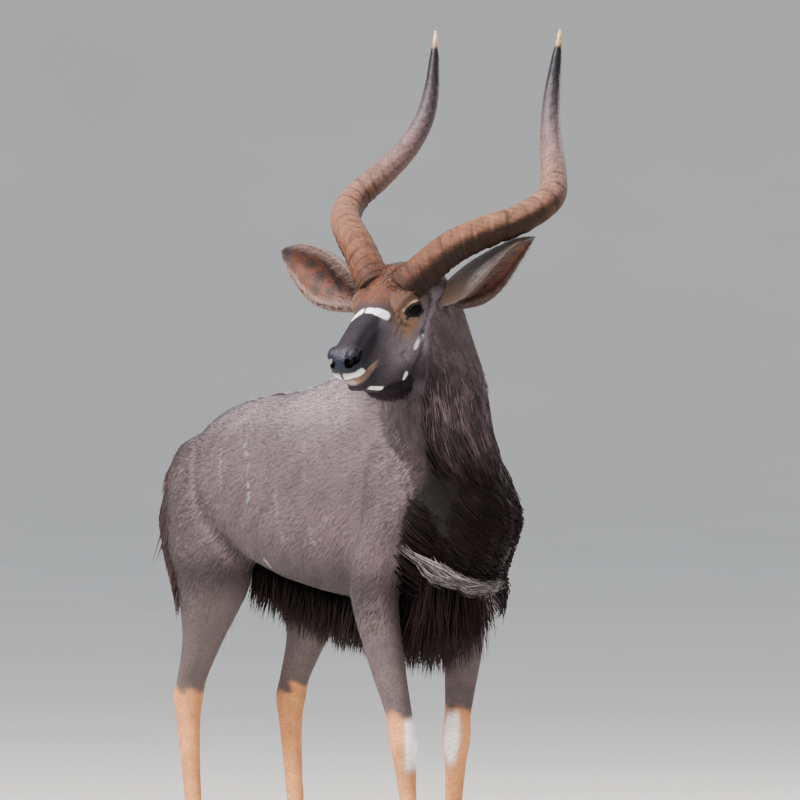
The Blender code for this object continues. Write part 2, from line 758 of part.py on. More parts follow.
def torso_planes():
    """The half spaces of each part of the skin: a place on the plane and the way inwards."""
    neck_place, neck_way = NECK_CUT
    off_neck = (neck_place, -Vector(neck_way))
    return {
        "neck": [(neck_place, Vector(neck_way))],
        "torso_front": [off_neck, ((0, FRONT_CUT_Y, 0), (0, -1, 0)), ((0, 0, FORELEG_CUT_Z), (0, 0, 1))],
        "torso_middle": [((0, FRONT_CUT_Y, 0), (0, 1, 0)), ((0, REAR_CUT_Y, 0), (0, -1, 0))],
        "torso_rear": [((0, REAR_CUT_Y, 0), (0, 1, 0)), ((0, 0, HINDLEG_CUT_Z), (0, 0, 1))],
    }


def leg_planes():
    planes = {}
    for side_name, way in (("left", 1), ("right", -1)):
        beside = ((MIDDLE, 0, 0), (way, 0, 0))
        for leg_name, top, joint, reach in (
            ("foreleg", FORELEG_CUT_Z, KNEE_CUT_Z, ((0, FRONT_CUT_Y, 0), (0, -1, 0))),
            ("hindleg", HINDLEG_CUT_Z, HOCK_CUT_Z, ((0, REAR_CUT_Y, 0), (0, 1, 0))),
        ):
            upper = [((0, 0, top), (0, 0, -1)), ((0, 0, joint), (0, 0, 1)), beside, reach]
            lower = [((0, 0, joint), (0, 0, -1)), ((0, 0, HOOF_CUT_Z), (0, 0, 1)), beside, reach]
            planes[f"{leg_name}_{side_name}_upper"] = upper
            planes[f"{leg_name}_{side_name}_lower"] = lower
    return planes


def skin_tree(skin):
    """The skin in the form that rays are cast at."""
    places = [vertex.co for vertex in skin.vertices]
    return BVHTree.FromPolygons(places, [face.vertices for face in skin.polygons])


def surface(tree, inside, way):
    """The place and outward direction of the skin, seen from a place inside it."""
    place, normal, _, _ = tree.ray_cast(Vector(inside), Vector(way).normalized())
    return place, normal


def lock(place, normal, lie, fall, size, flat_way):
    """A flat tapered lock that starts along its lie and bends towards its fall.

    Its size is length, width and thickness, and its flat way is the direction that it is thin in.
    """
    length, width, thickness = size
    rings = []
    for share, spread in LOCK_SHAPE:
        way = lie.lerp(fall, share).normalized()
        course = lie * (1 - share / 2) + fall * share / 2
        middle = place - normal * LOCK_ROOT * (1 - share) + course * length * share
        flat = (flat_way - way * flat_way.dot(way)).normalized()
        across = way.cross(flat)
        rings.append([
            middle + across * width / 2 * spread,
            middle + flat * thickness / 2 * spread ** 0.5,
            middle - across * width / 2 * spread,
            middle - flat * thickness / 2 * spread ** 0.5,
        ])
    return loft(rings)


def sized(draw, size):
    """The size of one lock, its length and width varied a little."""
    length, width, thickness = size
    change = [1 + draw.uniform(-LOCK_VARIATION, LOCK_VARIATION) for _ in range(2)]
    return length * change[0], width * change[1], thickness


def leaning(draw, normal, lean, sideways=0.0):
    """The direction of a lean on skin with this normal, turned a little at random."""
    outward, way = lean
    straight = (normal * outward + Vector(way) + Vector((sideways, 0.0, 0.0))).normalized()
    return (straight + Vector([draw.uniform(-LOCK_JITTER, LOCK_JITTER) for _ in range(3)])).normalized()


def neck_at(height):
    """The middle of the neck at a height, and the turn of the neck there."""
    row = min(smooth_rows(NECK, NECK_READINGS), key=lambda row: abs(row[2] - height))
    return row[:3], HEAD_TURN * row[5]


def throat_locks(tree, draw):
    """The mane down the front of the neck, blown to the animal's left."""
    locks = []
    for row_number, height in enumerate(THROAT_HEIGHTS):
        centre, turn = neck_at(height)
        for column in range(THROAT_COLUMNS):
            share = (column + 0.5 * (row_number % 2)) / (THROAT_COLUMNS - 0.5)
            angle = turn + THROAT_SPAN[1] - (THROAT_SPAN[0] + THROAT_SPAN[1]) * share
            place, normal = surface(tree, centre, (-math.sin(angle), -math.cos(angle), 0.0))
            lie = leaning(draw, normal, THROAT_LIE)
            fall = leaning(draw, normal, THROAT_FALL)
            locks.append(lock(place, normal, lie, fall, sized(draw, THROAT_LOCK), normal))
    return locks


def chest_locks(tree, draw):
    """The hair of the breast, from between the shoulders down to the brisket."""
    locks = []
    for row_number, height in enumerate(CHEST_HEIGHTS):
        for column in range(CHEST_COLUMNS):
            share = (column + 0.5 * (row_number % 2)) / (CHEST_COLUMNS - 0.5)
            angle = (CHEST_SPAN[0] + CHEST_SPAN[1]) * share - CHEST_SPAN[1]
            inside = (0.0, CHEST_MIDDLE_Y, height)
            place, normal = surface(tree, inside, (math.sin(angle), -math.cos(angle), 0.0))
            lie = leaning(draw, normal, CHEST_LIE)
            fall = leaning(draw, normal, CHEST_FALL)
            locks.append(lock(place, normal, lie, fall, sized(draw, CHEST_LOCK), normal))
    return locks


def belly_locks(tree, draw, start, end):
    """The fringe under the belly between two places along the body, in two rows."""
    locks = []
    count = max(2, round((end - start) / BELLY_STEP))
    for number in range(count):
        y = start + (end - start) * (number + 0.5) / count
        for side in (-1, 1):
            inside = (side * BELLY_HALF_WIDTH, y + side * BELLY_STEP / 4, BODY_MIDDLE_Z)
            place, normal = surface(tree, inside, (0, 0, -1))
            lie = leaning(draw, normal, BELLY_LIE, side * BELLY_SPLAY)
            fall = leaning(draw, normal, BELLY_FALL)
            locks.append(lock(place, normal, lie, fall, sized(draw, BELLY_LOCK), LEFTWARD))
    return locks


def crest_locks(tree, draw, start, end):
    """The low crest along the back between two places along the body, lying backwards."""
    locks = []
    count = max(2, round((end - start) / CREST_STEP))
    for number in range(count):
        y = start + (end - start) * (number + 0.5) / count
        tilt = CREST_SPLAY * (-1) ** number
        place, normal = surface(tree, (0.0, y, BODY_MIDDLE_Z), (0, 0, 1))
        lie = leaning(draw, normal, CREST_LIE, tilt)
        fall = leaning(draw, normal, CREST_FALL, tilt)
        locks.append(lock(place, normal, lie, fall, sized(draw, CREST_LOCK), LEFTWARD))
    return locks


def nape_locks(tree, draw):
    """The crest down the back of the neck."""
    locks = []
    for height in NAPE_HEIGHTS:
        centre, turn = neck_at(height)
        back = Vector((math.sin(turn), math.cos(turn), 0.0))
        place, normal = surface(tree, centre, back)
        lie = leaning(draw, back, NAPE_LIE)
        fall = leaning(draw, back, NAPE_FALL)
        locks.append(lock(place, normal, lie, fall, sized(draw, CREST_LOCK), back.cross(UPWARD)))
    return locks


def thigh_locks(tree, draw):
    """The long hair down the back edge of each thigh."""
    locks = []
    for side in (-1, 1):
        for height in THIGH_HEIGHTS:
            for number, inset in enumerate(THIGH_INSETS):
                inside = (side * inset, THIGH_MIDDLE_Y, height + THIGH_STAGGER * number)
                place, normal = surface(tree, inside, (side * THIGH_OUTWARD, 1.0, 0.0))
                lie = leaning(draw, normal, THIGH_LIE)
                fall = leaning(draw, normal, THIGH_FALL)
                locks.append(lock(place, normal, lie, fall, sized(draw, THIGH_LOCK), normal))
    return locks


def tail_locks(draw):
    """The bushy hair of the tail, round the dock and past its end."""
    locks = []
    rows = smooth_rows(TAIL_DOCK, NECK_READINGS)
    for number, reading in enumerate(TAIL_READINGS):
        row = rows[round((len(rows) - 1) * reading)]
        for turn in range(TAIL_AROUND):
            angle = 2 * math.pi * (turn + 0.5 * (number % 2)) / TAIL_AROUND
            normal = Vector((math.cos(angle), math.sin(angle), 0.0))
            outward = Vector((normal.x, max(normal.y, TAIL_FLAT), 0.0))
            place = Vector(row[:3]) + normal * row[3] * TAIL_DEPTH
            lie = leaning(draw, outward, TAIL_LIE)
            fall = leaning(draw, outward, TAIL_FALL)
            locks.append(lock(place, normal, lie, fall, sized(draw, TAIL_LOCK), normal))
    return locks


def flesh_parts():
    """Every rounded mass of the body, from which one skin is fused."""
    legs = [
        leg(FORELEG_RIGHT, FORELEG_SIZES),
        leg(FORELEG_LEFT, FORELEG_SIZES),
        leg(HINDLEG_RIGHT, HINDLEG_SIZES),
        leg(HINDLEG_LEFT, HINDLEG_SIZES),
    ]
    head = [head_loft(MUZZLE_AND_SKULL), head_loft(JAW)]
    return [trunk(), neck(), *legs, *head]


def haired(mesh, locks, neighbours):
    """The mesh with its locks fused on, cut clear of the pieces beside it."""
    mesh = largest(combined(mesh, locks, "UNION"))
    room = [grown(other, LOCK_CLEARANCE) for other in neighbours]
    return largest(combined(mesh, room, "DIFFERENCE"))


def body_pieces():
    """The neck, torso, legs and tail, each with its own locks."""
    skin = one_skin(flesh_parts(), BODY_VOXEL, BODY_SMOOTHING, BODY_TRIANGLES)
    tree = skin_tree(skin)
    draw = random.Random(HAIR_SEED)
    bare = {name: sliced(skin, planes) for name, planes in torso_planes().items()}
    pieces = {name: sliced(skin, planes) for name, planes in leg_planes().items()}
    forelegs = [pieces["foreleg_left_upper"], pieces["foreleg_right_upper"]]
    hindlegs = [pieces["hindleg_left_upper"], pieces["hindleg_right_upper"]]
    head_room = sliced(ball(HEAD_PLACE, HEAD_ROOM), head_planes(GAP))
    bare["neck"] = largest(combined(bare["neck"], [head_room], "DIFFERENCE"))
    neck_hair = throat_locks(tree, draw) + nape_locks(tree, draw)
    pieces["neck"] = haired(bare["neck"], neck_hair, [head_room, bare["torso_front"]])
    front_hair = chest_locks(tree, draw) + belly_locks(tree, draw, *BRISKET)
    front_hair += crest_locks(tree, draw, *WITHERS)
    front_room = [pieces["neck"], bare["torso_middle"], *forelegs]
    pieces["torso_front"] = haired(bare["torso_front"], front_hair, front_room)
    middle_hair = belly_locks(tree, draw, *BELLY) + crest_locks(tree, draw, *BACK)
    middle_room = [pieces["torso_front"], bare["torso_rear"]]
    pieces["torso_middle"] = haired(bare["torso_middle"], middle_hair, middle_room)
    rear_hair = belly_locks(tree, draw, *GROIN) + crest_locks(tree, draw, *RUMP) + thigh_locks(tree, draw)
    rear_room = [pieces["torso_middle"], *hindlegs]
    pieces["torso_rear"] = haired(bare["torso_rear"], rear_hair, rear_room)
    dock = tube(TAIL_DOCK, TAIL_RINGS, sides=TAIL_SIDES)
    pieces["tail"] = haired(dock, tail_locks(draw), [pieces["torso_rear"], *hindlegs])
    return pieces


def all_pieces():
    """The mesh of every node by name."""
    pieces = body_pieces()
    head = head_skin([head_loft(MUZZLE_AND_SKULL), head_loft(JAW), neck(), *head_masses()])
    pieces["head"] = head
    for side_name, side in (("left", 1), ("right", -1)):
        pieces[f"horn_{side_name}"] = horn(side, head)
        beside_ear = [head, pieces["neck"], pieces[f"horn_{side_name}"]]
        pieces[f"ear_{side_name}"] = ear(side_name, beside_ear)
        pieces[f"eye_{side_name}"] = eye(side)
    feet = {
        "foreleg_right": FORELEG_RIGHT[-1],
        "foreleg_left": FORELEG_LEFT[-1],
        "hindleg_right": HINDLEG_RIGHT[-1],
        "hindleg_left": HINDLEG_LEFT[-1],
    }
    for leg_name, foot in feet.items():
        for claw_name, side in (("left", 1), ("right", -1)):
            pieces[f"hoof_{leg_name}_{claw_name}"] = claw(foot, side)
    return pieces


def centred(meshes):
    """Moves every mesh so that the middle of the whole box stands on the origin."""
    places = np.array([vertex.co for mesh in meshes for vertex in mesh.vertices])
    middle = (places.min(axis=0) + places.max(axis=0)) / 2
    for mesh in meshes:
        mesh.transform(Matrix.Translation((-middle[0], -middle[1], 0.0)))


def build():
    clear_scene()
    pieces = all_pieces()
    centred(list(pieces.values()))
    for name, mesh in pieces.items():
        colour, roughness = COATS.get(name.split("_")[0], COATS["fur"])
        mesh.materials.clear()
        mesh.materials.append(coat(name, colour, roughness))
        mesh.shade_smooth()
        mesh.set_sharp_from_angle(angle=SHARP_ANGLE)
        in_scene(mesh, name)


build()
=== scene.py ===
"""The looks of a life-size nyala bull: skin, coat, mane, horns, ears, eyes, hooves and a studio."""
import functools
import json
import math

import bmesh
import bpy
import numpy as np
from mathutils import Matrix, Vector
from mathutils.bvhtree import BVHTree

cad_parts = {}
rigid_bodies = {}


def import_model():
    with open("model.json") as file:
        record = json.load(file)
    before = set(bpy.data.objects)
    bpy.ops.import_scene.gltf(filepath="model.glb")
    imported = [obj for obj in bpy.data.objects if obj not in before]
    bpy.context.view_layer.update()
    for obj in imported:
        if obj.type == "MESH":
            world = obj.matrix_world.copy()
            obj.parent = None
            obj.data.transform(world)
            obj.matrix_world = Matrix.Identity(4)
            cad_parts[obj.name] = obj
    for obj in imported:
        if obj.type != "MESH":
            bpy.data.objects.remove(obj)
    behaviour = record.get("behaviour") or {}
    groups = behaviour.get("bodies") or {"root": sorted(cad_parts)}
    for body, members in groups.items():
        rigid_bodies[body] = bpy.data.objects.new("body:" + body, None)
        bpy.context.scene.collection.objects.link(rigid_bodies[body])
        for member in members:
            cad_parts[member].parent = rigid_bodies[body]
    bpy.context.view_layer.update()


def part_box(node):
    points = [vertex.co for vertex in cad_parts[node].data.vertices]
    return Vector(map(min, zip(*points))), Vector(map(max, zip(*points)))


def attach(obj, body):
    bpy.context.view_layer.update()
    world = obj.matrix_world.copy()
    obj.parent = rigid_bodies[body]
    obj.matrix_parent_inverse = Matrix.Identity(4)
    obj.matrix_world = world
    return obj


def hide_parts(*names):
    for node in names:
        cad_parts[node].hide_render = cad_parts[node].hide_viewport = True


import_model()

bl_info = {
    "name": "Nyala Bull",
    "version": (1, 0, 0),
    "blender": (4, 5, 0),
    "location": "3D View > Sidebar > Nyala",
    "description": "Makes the skin, coat, horns and eyes of a life-size nyala bull, and its studio",
    "category": "Object",
}

BODY = "root"
LEGS = ("foreleg_left", "foreleg_right", "hindleg_left", "hindleg_right")
SIDES = {"left": 1, "right": -1}
FLESH = ("head", "neck", "torso_front", "torso_middle", "torso_rear", "tail")

# The head's own frame: forward to the nose, left, and up, from a point between the eyes
HEAD_PLACE = Vector((-0.150, -0.170, 1.184))
HEAD_TURN = math.radians(60)
HEAD_DROP = math.radians(30)
EYE_PLACE = (-0.004, 0.0555, 0.001)
EYE_RADIUS = 0.0185

# Trunk rings: y, top, bottom, half width
TRUNK = [
    (-0.262, 0.828, 0.762, 0.028),
    (-0.240, 0.880, 0.705, 0.060),
    (-0.185, 0.965, 0.655, 0.088),
    (-0.100, 1.045, 0.618, 0.112),
    (0.000, 1.086, 0.600, 0.132),
    (0.090, 1.090, 0.596, 0.148),
    (0.220, 1.064, 0.602, 0.168),
    (0.360, 1.034, 0.618, 0.178),
    (0.500, 1.014, 0.645, 0.174),
    (0.620, 1.006, 0.680, 0.166),
    (0.730, 0.985, 0.715, 0.150),
    (0.830, 0.935, 0.765, 0.118),
    (0.885, 0.885, 0.810, 0.070),
]
TRUNK_POWER = 2.25
TRUNK_NARROWING = 0.16

# Neck rings: x, y, z, half width, half depth, share of the head's turn
NECK = [
    (0.000, -0.055, 0.840, 0.098, 0.165, 0.00),
    (-0.004, -0.090, 0.930, 0.098, 0.150, 0.08),
    (-0.011, -0.112, 1.020, 0.099, 0.124, 0.30),
    (-0.031, -0.115, 1.110, 0.090, 0.104, 0.60),
    (-0.054, -0.118, 1.190, 0.078, 0.090, 0.90),
    (-0.072, -0.122, 1.235, 0.062, 0.070, 1.00),
]

# Head rings in the head's frame: forward, top, bottom, half width, squareness
MUZZLE_AND_SKULL = [
    (0.2020, -0.020, -0.036, 0.0120, 2.2),
    (0.1985, -0.008, -0.042, 0.0220, 2.3),
    (0.1900, 0.004, -0.046, 0.0290, 2.4),
    (0.1720, 0.016, -0.049, 0.0320, 2.4),
    (0.1450, 0.024, -0.055, 0.0335, 2.3),
    (0.1130, 0.031, -0.065, 0.0365, 2.2),
    (0.0800, 0.036, -0.077, 0.0430, 2.2),
    (0.0450, 0.044, -0.088, 0.0520, 2.2),
    (0.0100, 0.053, -0.098, 0.0600, 2.2),
    (-0.0300, 0.061, -0.104, 0.0630, 2.3),
    (-0.0700, 0.060, -0.104, 0.0620, 2.3),
    (-0.1080, 0.048, -0.095, 0.0560, 2.2),
    (-0.1320, 0.026, -0.070, 0.0400, 2.0),
]
JAW = [
    (0.1820, -0.042, -0.058, 0.0120, 2.0),
    (0.1740, -0.042, -0.074, 0.0200, 2.2),
    (0.1560, -0.045, -0.090, 0.0240, 2.3),
    (0.1300, -0.050, -0.112, 0.0250, 2.3),
    (0.0970, -0.055, -0.134, 0.0290, 2.2),
    (0.0550, -0.060, -0.150, 0.0370, 2.2),
    (0.0100, -0.060, -0.156, 0.0470, 2.2),
    (-0.0350, -0.050, -0.156, 0.0520, 2.2),
    (-0.0800, -0.040, -0.146, 0.0500, 2.0),
    (-0.1100, -0.040, -0.110, 0.0380, 2.0),
]

# Rounded masses of the head, the left one of each pair: centre and radii in the head's frame
HEAD_MASSES = [
    ((-0.008, 0.042, 0.020), (0.048, 0.027, 0.025)),
    ((-0.004, 0.046, -0.001), (0.040, 0.024, 0.027)),
    ((0.024, 0.038, -0.030), (0.070, 0.018, 0.018)),
    ((-0.020, 0.034, -0.084), (0.062, 0.024, 0.048)),
    ((0.172, 0.0215, -0.001), (0.021, 0.0150, 0.0165)),
    ((0.162, 0.018, -0.032), (0.034, 0.0160, 0.018)),
    ((0.150, 0.006, -0.074), (0.030, 0.016, 0.0150)),
    ((-0.052, 0.045, 0.041), (0.040, 0.035, 0.026)),
    ((-0.096, 0.052, 0.000), (0.034, 0.034, 0.034)),
]
LID_BALL = 0.0232
EYE_LOOK = (0.36, 0.92, 0.12)
EYE_OPENING = (0.0172, 0.0112)
EYE_OPENING_TILT = math.radians(-14)
LID_CORNER = 0.25

# Round the eye: the gap of its socket, how far past the ball the skin is left at its height and has
# no hair, and the rim of the lids, with its height over the ball, half thickness and half breadth
SOCKET_GAP = 0.0006
SOCKET_EDGE = 0.0012
HAIRLESS_EDGE = 0.0030
LID_HEIGHT = 0.0014
LID_THICKNESS = 0.0016
LID_BREADTH = 0.120
LID_SIDES = 10

# Nostrils and mouth in the head's frame
NOSTRIL = [
    ((0.1865, 0.0185, -0.0085), (0.0150, 0.0100, 0.0110)),
    ((0.1785, 0.0280, -0.0050), (0.0150, 0.0085, 0.0100)),
    ((0.1705, 0.0320, 0.0000), (0.0110, 0.0048, 0.0065)),
]
MOUTH_LINE = [
    (0.122, 0.0400, -0.0510),
    (0.143, 0.0385, -0.0510),
    (0.165, 0.0345, -0.0480),
    (0.181, 0.0240, -0.0460),
    (0.193, 0.0000, -0.0455),
]
MOUTH_MIDDLE = 0.134
MOUTH_STEPS = 16
MOUTH_GROOVE = (0.0075, 0.0011)
HAIRLESS_LIP = 0.0032

# Grooves in the skin of the head: its line on the left side, depth and width
FOLDS = [
    ([(0.034, 0.056, 0.016), (0.012, 0.066, 0.027), (-0.016, 0.070, 0.026), (-0.036, 0.066, 0.012)], 0.0024, 0.0036),
    ([(0.034, 0.052, -0.010), (0.016, 0.064, -0.024), (-0.010, 0.070, -0.027), (-0.030, 0.068, -0.018)],
     0.0020, 0.0034),
    ([(0.030, 0.056, -0.003), (0.048, 0.049, -0.014), (0.064, 0.046, -0.026)], 0.0018, 0.0034),
    ([(0.050, 0.046, -0.044), (0.010, 0.055, -0.054), (-0.036, 0.060, -0.056)], 0.0016, 0.0070),
    ([(0.124, 0.037, -0.050), (0.106, 0.036, -0.060), (0.100, 0.034, -0.074)], 0.0022, 0.0034),
    ([(0.170, 0.034, 0.010), (0.158, 0.036, -0.004), (0.160, 0.034, -0.020)], 0.0022, 0.0032),
    ([(0.198, 0.000, -0.014), (0.196, 0.000, -0.030), (0.190, 0.000, -0.044)], 0.0026, 0.0018),
    ([(0.060, 0.040, 0.024), (0.110, 0.030, 0.020), (0.150, 0.028, 0.010)], 0.0012, 0.0060),
    ([(-0.070, 0.072, -0.030), (-0.080, 0.068, -0.060), (-0.086, 0.064, -0.100)], 0.0016, 0.0050),
    ([(-0.092, 0.076, -0.034), (-0.104, 0.070, -0.066), (-0.112, 0.066, -0.106)], 0.0016, 0.0050),
]

# The horn's middle line in the head's frame, left horn, and its thickness along it
HORN_LINE = [
    (-0.034, 0.029, 0.031),
    (-0.067, 0.060, 0.052),
    (-0.115, 0.104, 0.074),
    (-0.164, 0.150, 0.080),
    (-0.236, 0.207, 0.073),
    (-0.316, 0.231, 0.073),
    (-0.388, 0.204, 0.085),
    (-0.452, 0.1715, 0.108),
    (-0.506, 0.150, 0.142),
    (-0.550, 0.143, 0.184),
    (-0.590, 0.144, 0.229),
    (-0.629, 0.147, 0.277),
]
HORN_SHARES = (0.0, 0.25, 0.50, 0.65, 0.80, 0.92, 1.0)
HORN_RADII = (0.0355, 0.0320, 0.0270, 0.0225, 0.0165, 0.0100, 0.0022)
HORN_KEEL = 0.12
HORN_RIDGE = 0.0013
HORN_TWIST = math.radians(300)
HORN_RINGS = 300
HORN_SIDES = 36

# Ears: root, direction and the way the cup opens, in the head's frame
EARS = {
    "right": ((-0.067, -0.070, -0.024), (-0.087, -0.876, 0.477), (0.84, -0.02, 0.45)),
    "left": ((-0.101, 0.053, -0.030), (-0.54, 0.79, 0.29), (0.43, 0.61, -0.65)),
}
EAR_LENGTH = 0.224
EAR_LEAN = 0.55
EAR_THICKNESS = 0.0034
EAR_RINGS = 44
EAR_COLUMNS = 25

# Ear shape from root to tip: share of the length, half width, half angle of the curl
EAR_SHAPE = [
    (0.00, 0.020, math.radians(140)),
    (0.15, 0.036, math.radians(126)),
    (0.32, 0.050, math.radians(112)),
    (0.50, 0.053, math.radians(98)),
    (0.68, 0.047, math.radians(82)),
    (0.84, 0.034, math.radians(66)),
    (0.95, 0.016, math.radians(56)),
    (1.00, 0.004, math.radians(52)),
]

# Legs from top to coronet: x, y, z, half width, half depth. The near fore foot steps ahead.
FORELEG_SIZES = [
    (0.018, 0.030), (0.040, 0.085), (0.048, 0.098), (0.045, 0.074), (0.037, 0.048),
    (0.0275, 0.0325), (0.0300, 0.0330), (0.0235, 0.0255), (0.0185, 0.0215), (0.0195, 0.0225),
    (0.0245, 0.0275), (0.0210, 0.0230), (0.0255, 0.0270),
]
HINDLEG_SIZES = [
    (0.030, 0.050), (0.064, 0.138), (0.080, 0.170), (0.074, 0.155), (0.062, 0.118),
    (0.0410, 0.0650), (0.0300, 0.0430), (0.0310, 0.0410), (0.0250, 0.0310), (0.0200, 0.0245),
    (0.0205, 0.0240), (0.0250, 0.0285), (0.0210, 0.0230), (0.0255, 0.0270),
]
LEG_LINES = {
    "foreleg_right": [
        (-0.050, -0.030, 0.980), (-0.080, -0.070, 0.900), (-0.096, -0.090, 0.780), (-0.110, -0.040, 0.640),
        (-0.104, -0.075, 0.500), (-0.092, -0.112, 0.385), (-0.088, -0.122, 0.335), (-0.086, -0.126, 0.285),
        (-0.083, -0.136, 0.200), (-0.082, -0.144, 0.130), (-0.082, -0.148, 0.102), (-0.082, -0.166, 0.068),
        (-0.082, -0.182, 0.042),
    ],
    "foreleg_left": [
        (0.050, -0.020, 0.980), (0.080, -0.060, 0.900), (0.096, -0.080, 0.780), (0.110, -0.005, 0.640),
        (0.104, -0.006, 0.500), (0.093, -0.006, 0.385), (0.090, -0.006, 0.335), (0.089, -0.004, 0.285),
        (0.087, 0.002, 0.200), (0.086, 0.006, 0.130), (0.086, 0.006, 0.102), (0.086, -0.012, 0.068),
        (0.086, -0.028, 0.042),
    ],
    "hindleg_right": [
        (-0.050, 0.690, 0.945), (-0.080, 0.715, 0.900), (-0.096, 0.715, 0.800), (-0.108, 0.698, 0.690),
        (-0.108, 0.695, 0.610), (-0.101, 0.748, 0.515), (-0.096, 0.814, 0.425), (-0.095, 0.834, 0.385),
        (-0.094, 0.836, 0.335), (-0.092, 0.826, 0.220), (-0.091, 0.814, 0.135), (-0.091, 0.810, 0.102),
        (-0.091, 0.790, 0.068), (-0.091, 0.774, 0.042),
    ],
    "hindleg_left": [
        (0.050, 0.690, 0.945), (0.080, 0.710, 0.900), (0.096, 0.700, 0.800), (0.108, 0.668, 0.690),
        (0.108, 0.648, 0.610), (0.101, 0.676, 0.515), (0.096, 0.728, 0.425), (0.095, 0.744, 0.385),
        (0.094, 0.744, 0.335), (0.092, 0.726, 0.220), (0.091, 0.708, 0.135), (0.091, 0.702, 0.102),
        (0.091, 0.682, 0.068), (0.091, 0.666, 0.042),
    ],
}
HOOF_TOP_Z = 0.045
CLAW_SPREAD = 0.0135
CLAW_TOP = (0.0122, 0.0265)
CLAW_SOLE = (0.0134, 0.0315)
CLAW_FORWARD = 0.010
CLAW_TAPER = 0.42
CLAW_RINGS = 22
CLAW_SIDES = 40
DEWCLAW_PLACE = (0.012, 0.0255, -0.012)
DEWCLAW_RADII = (0.0075, 0.0075, 0.0135)
DEWCLAW_TURN = Matrix.Rotation(math.radians(28), 3, "X")

# The tail, from its root to its tip: x, y, z, half width, half depth
TAIL_DOCK = [
    (0.000, 0.800, 0.915, 0.022, 0.020),
    (0.000, 0.850, 0.895, 0.021, 0.018),
    (0.002, 0.884, 0.840, 0.018, 0.015),
    (0.004, 0.897, 0.760, 0.015, 0.012),
    (0.004, 0.902, 0.680, 0.011, 0.009),
    (0.003, 0.902, 0.610, 0.005, 0.004),
]

# How finely the forms and their skin are made, how often the skin is smoothed, and how deep it
# lies under the tips of the coat
TRUNK_RINGS = 60
NECK_RINGS = 30
HEAD_RINGS = 50
LEG_RINGS = 60
TAIL_RINGS = 40
BODY_VOXEL = 0.0080
BODY_ROUNDS = 6
HEAD_VOXEL = 0.0026
HEAD_ROUNDS = 5
COAT_DEPTH = {"trunk": 0.0040, "leg": 0.0016, "head": 0.0008}

# The slanting seam in the neck between the coarse skin and the fine one: a place on it, the way
# up across it, half the gap that is bridged there, and how far from it the skin is smoothed
SEAM_PLACE = Vector((0.0, -0.115, 1.035))
SEAM_WAY = Vector((0.0, -0.6, 0.8))
SEAM_HALF_GAP = 0.004
SEAM_SMOOTHED = 0.03

# The skin rises beside each fold, by a share of its depth and at this many of its widths, and it
# swells over the muscles by this much, in waves of this size
FOLD_RISE = 0.35
FOLD_RISE_PLACE = 2.2
MUSCLE_DEPTH = 0.0009
MUSCLE_SIZE = 0.16


def smooth_rows(rows, count):
    """Rows of numbers read at even steps along a smooth curve through the given rows."""
    rows = np.array(rows, dtype=float)
    padded = np.vstack([2 * rows[0] - rows[1], rows, 2 * rows[-1] - rows[-2]])
    result = []
    for place in np.linspace(0, len(rows) - 1, count):
        step = min(int(place), len(rows) - 2)
        t = place - step
        a, b, c, d = padded[step:step + 4]
        bend = (2 * a - 5 * b + 4 * c - d) * t ** 2 + (3 * b - a - 3 * c + d) * t ** 3
        result.append(0.5 * (2 * b + (c - a) * t + bend))
    return np.array(result)


def section(centre, across, up, half_width, half_height, power=2.0, narrowing=0.0, sides=48):
    """One closed ring of points, a squarish oval that may narrow towards its top."""
    points = []
    for number in range(sides):
        angle = 2 * math.pi * number / sides
        side = math.copysign(abs(math.cos(angle)) ** (2 / power), math.cos(angle))
        rise = math.copysign(abs(math.sin(angle)) ** (2 / power), math.sin(angle))
        reach = half_width * side * (1 - narrowing * rise)
        points.append(Vector(centre) + across * reach + up * half_height * rise)
    return points


def add_loop(bm, points):
    verts = [bm.verts.new(point) for point in points]
    return [bm.edges.new((verts[number - 1], verts[number])) for number in range(len(verts))]


def bridged(bm, pairs):
    """Faces between the loops of each pair."""
    for near, far in pairs:
        bmesh.ops.bridge_loops(bm, edges=near + far)


def mesh_from(bm, name):
    """The finished mesh of a bmesh, which is freed."""
    mesh = bpy.data.meshes.new(name)
    bm.to_mesh(mesh)
    bm.free()
    return mesh


def loft(rings):
    """A closed mesh through the rings, with flat ends."""
    bm = bmesh.new()
    loops = [add_loop(bm, ring) for ring in rings]
    bridged(bm, zip(loops, loops[1:]))
    for end in (loops[0], loops[-1]):
        bmesh.ops.edgeloop_fill(bm, edges=end)
    bmesh.ops.recalc_face_normals(bm, faces=bm.faces)
    return mesh_from(bm, "loft")


def tube(rows, count, level=False):
    """A loft along a line of x, y, z, half width and half depth, and how far it turns with the head."""
    rows = smooth_rows(rows, count)
    rings = []
    for number, row in enumerate(rows):
        ahead = Vector(rows[min(number + 1, count - 1)][:3]) - Vector(rows[max(number - 1, 0)][:3])
        along = Vector((0, 0, -1)) if level else ahead.normalized()
        turn = HEAD_TURN * row[5] if len(row) > 5 else 0.0
        side = Vector((math.cos(turn), -math.sin(turn), 0.0))
        side = (side - along * side.dot(along)).normalized()
        rings.append(section(row[:3], side, along.cross(side), row[3], row[4]))
    return loft(rings)


def ball(centre, radii, turn=Matrix.Identity(3), segments=32):
    bm = bmesh.new()
    bmesh.ops.create_uvsphere(bm, u_segments=segments, v_segments=segments // 2, radius=1.0)
    scale = Matrix.Diagonal((*radii, 1.0))
    bmesh.ops.transform(bm, matrix=Matrix.Translation(centre) @ turn.to_4x4() @ scale, verts=bm.verts)
    return mesh_from(bm, "ball")


def joined(meshes):
    """One mesh that holds all of the meshes, still as separate shells."""
    bm = bmesh.new()
    for mesh in meshes:
        bm.from_mesh(mesh)
    return mesh_from(bm, "joined")


def in_scene(data, name="work"):
    item = bpy.data.objects.new(name, data)
    bpy.context.scene.collection.objects.link(item)
    return item


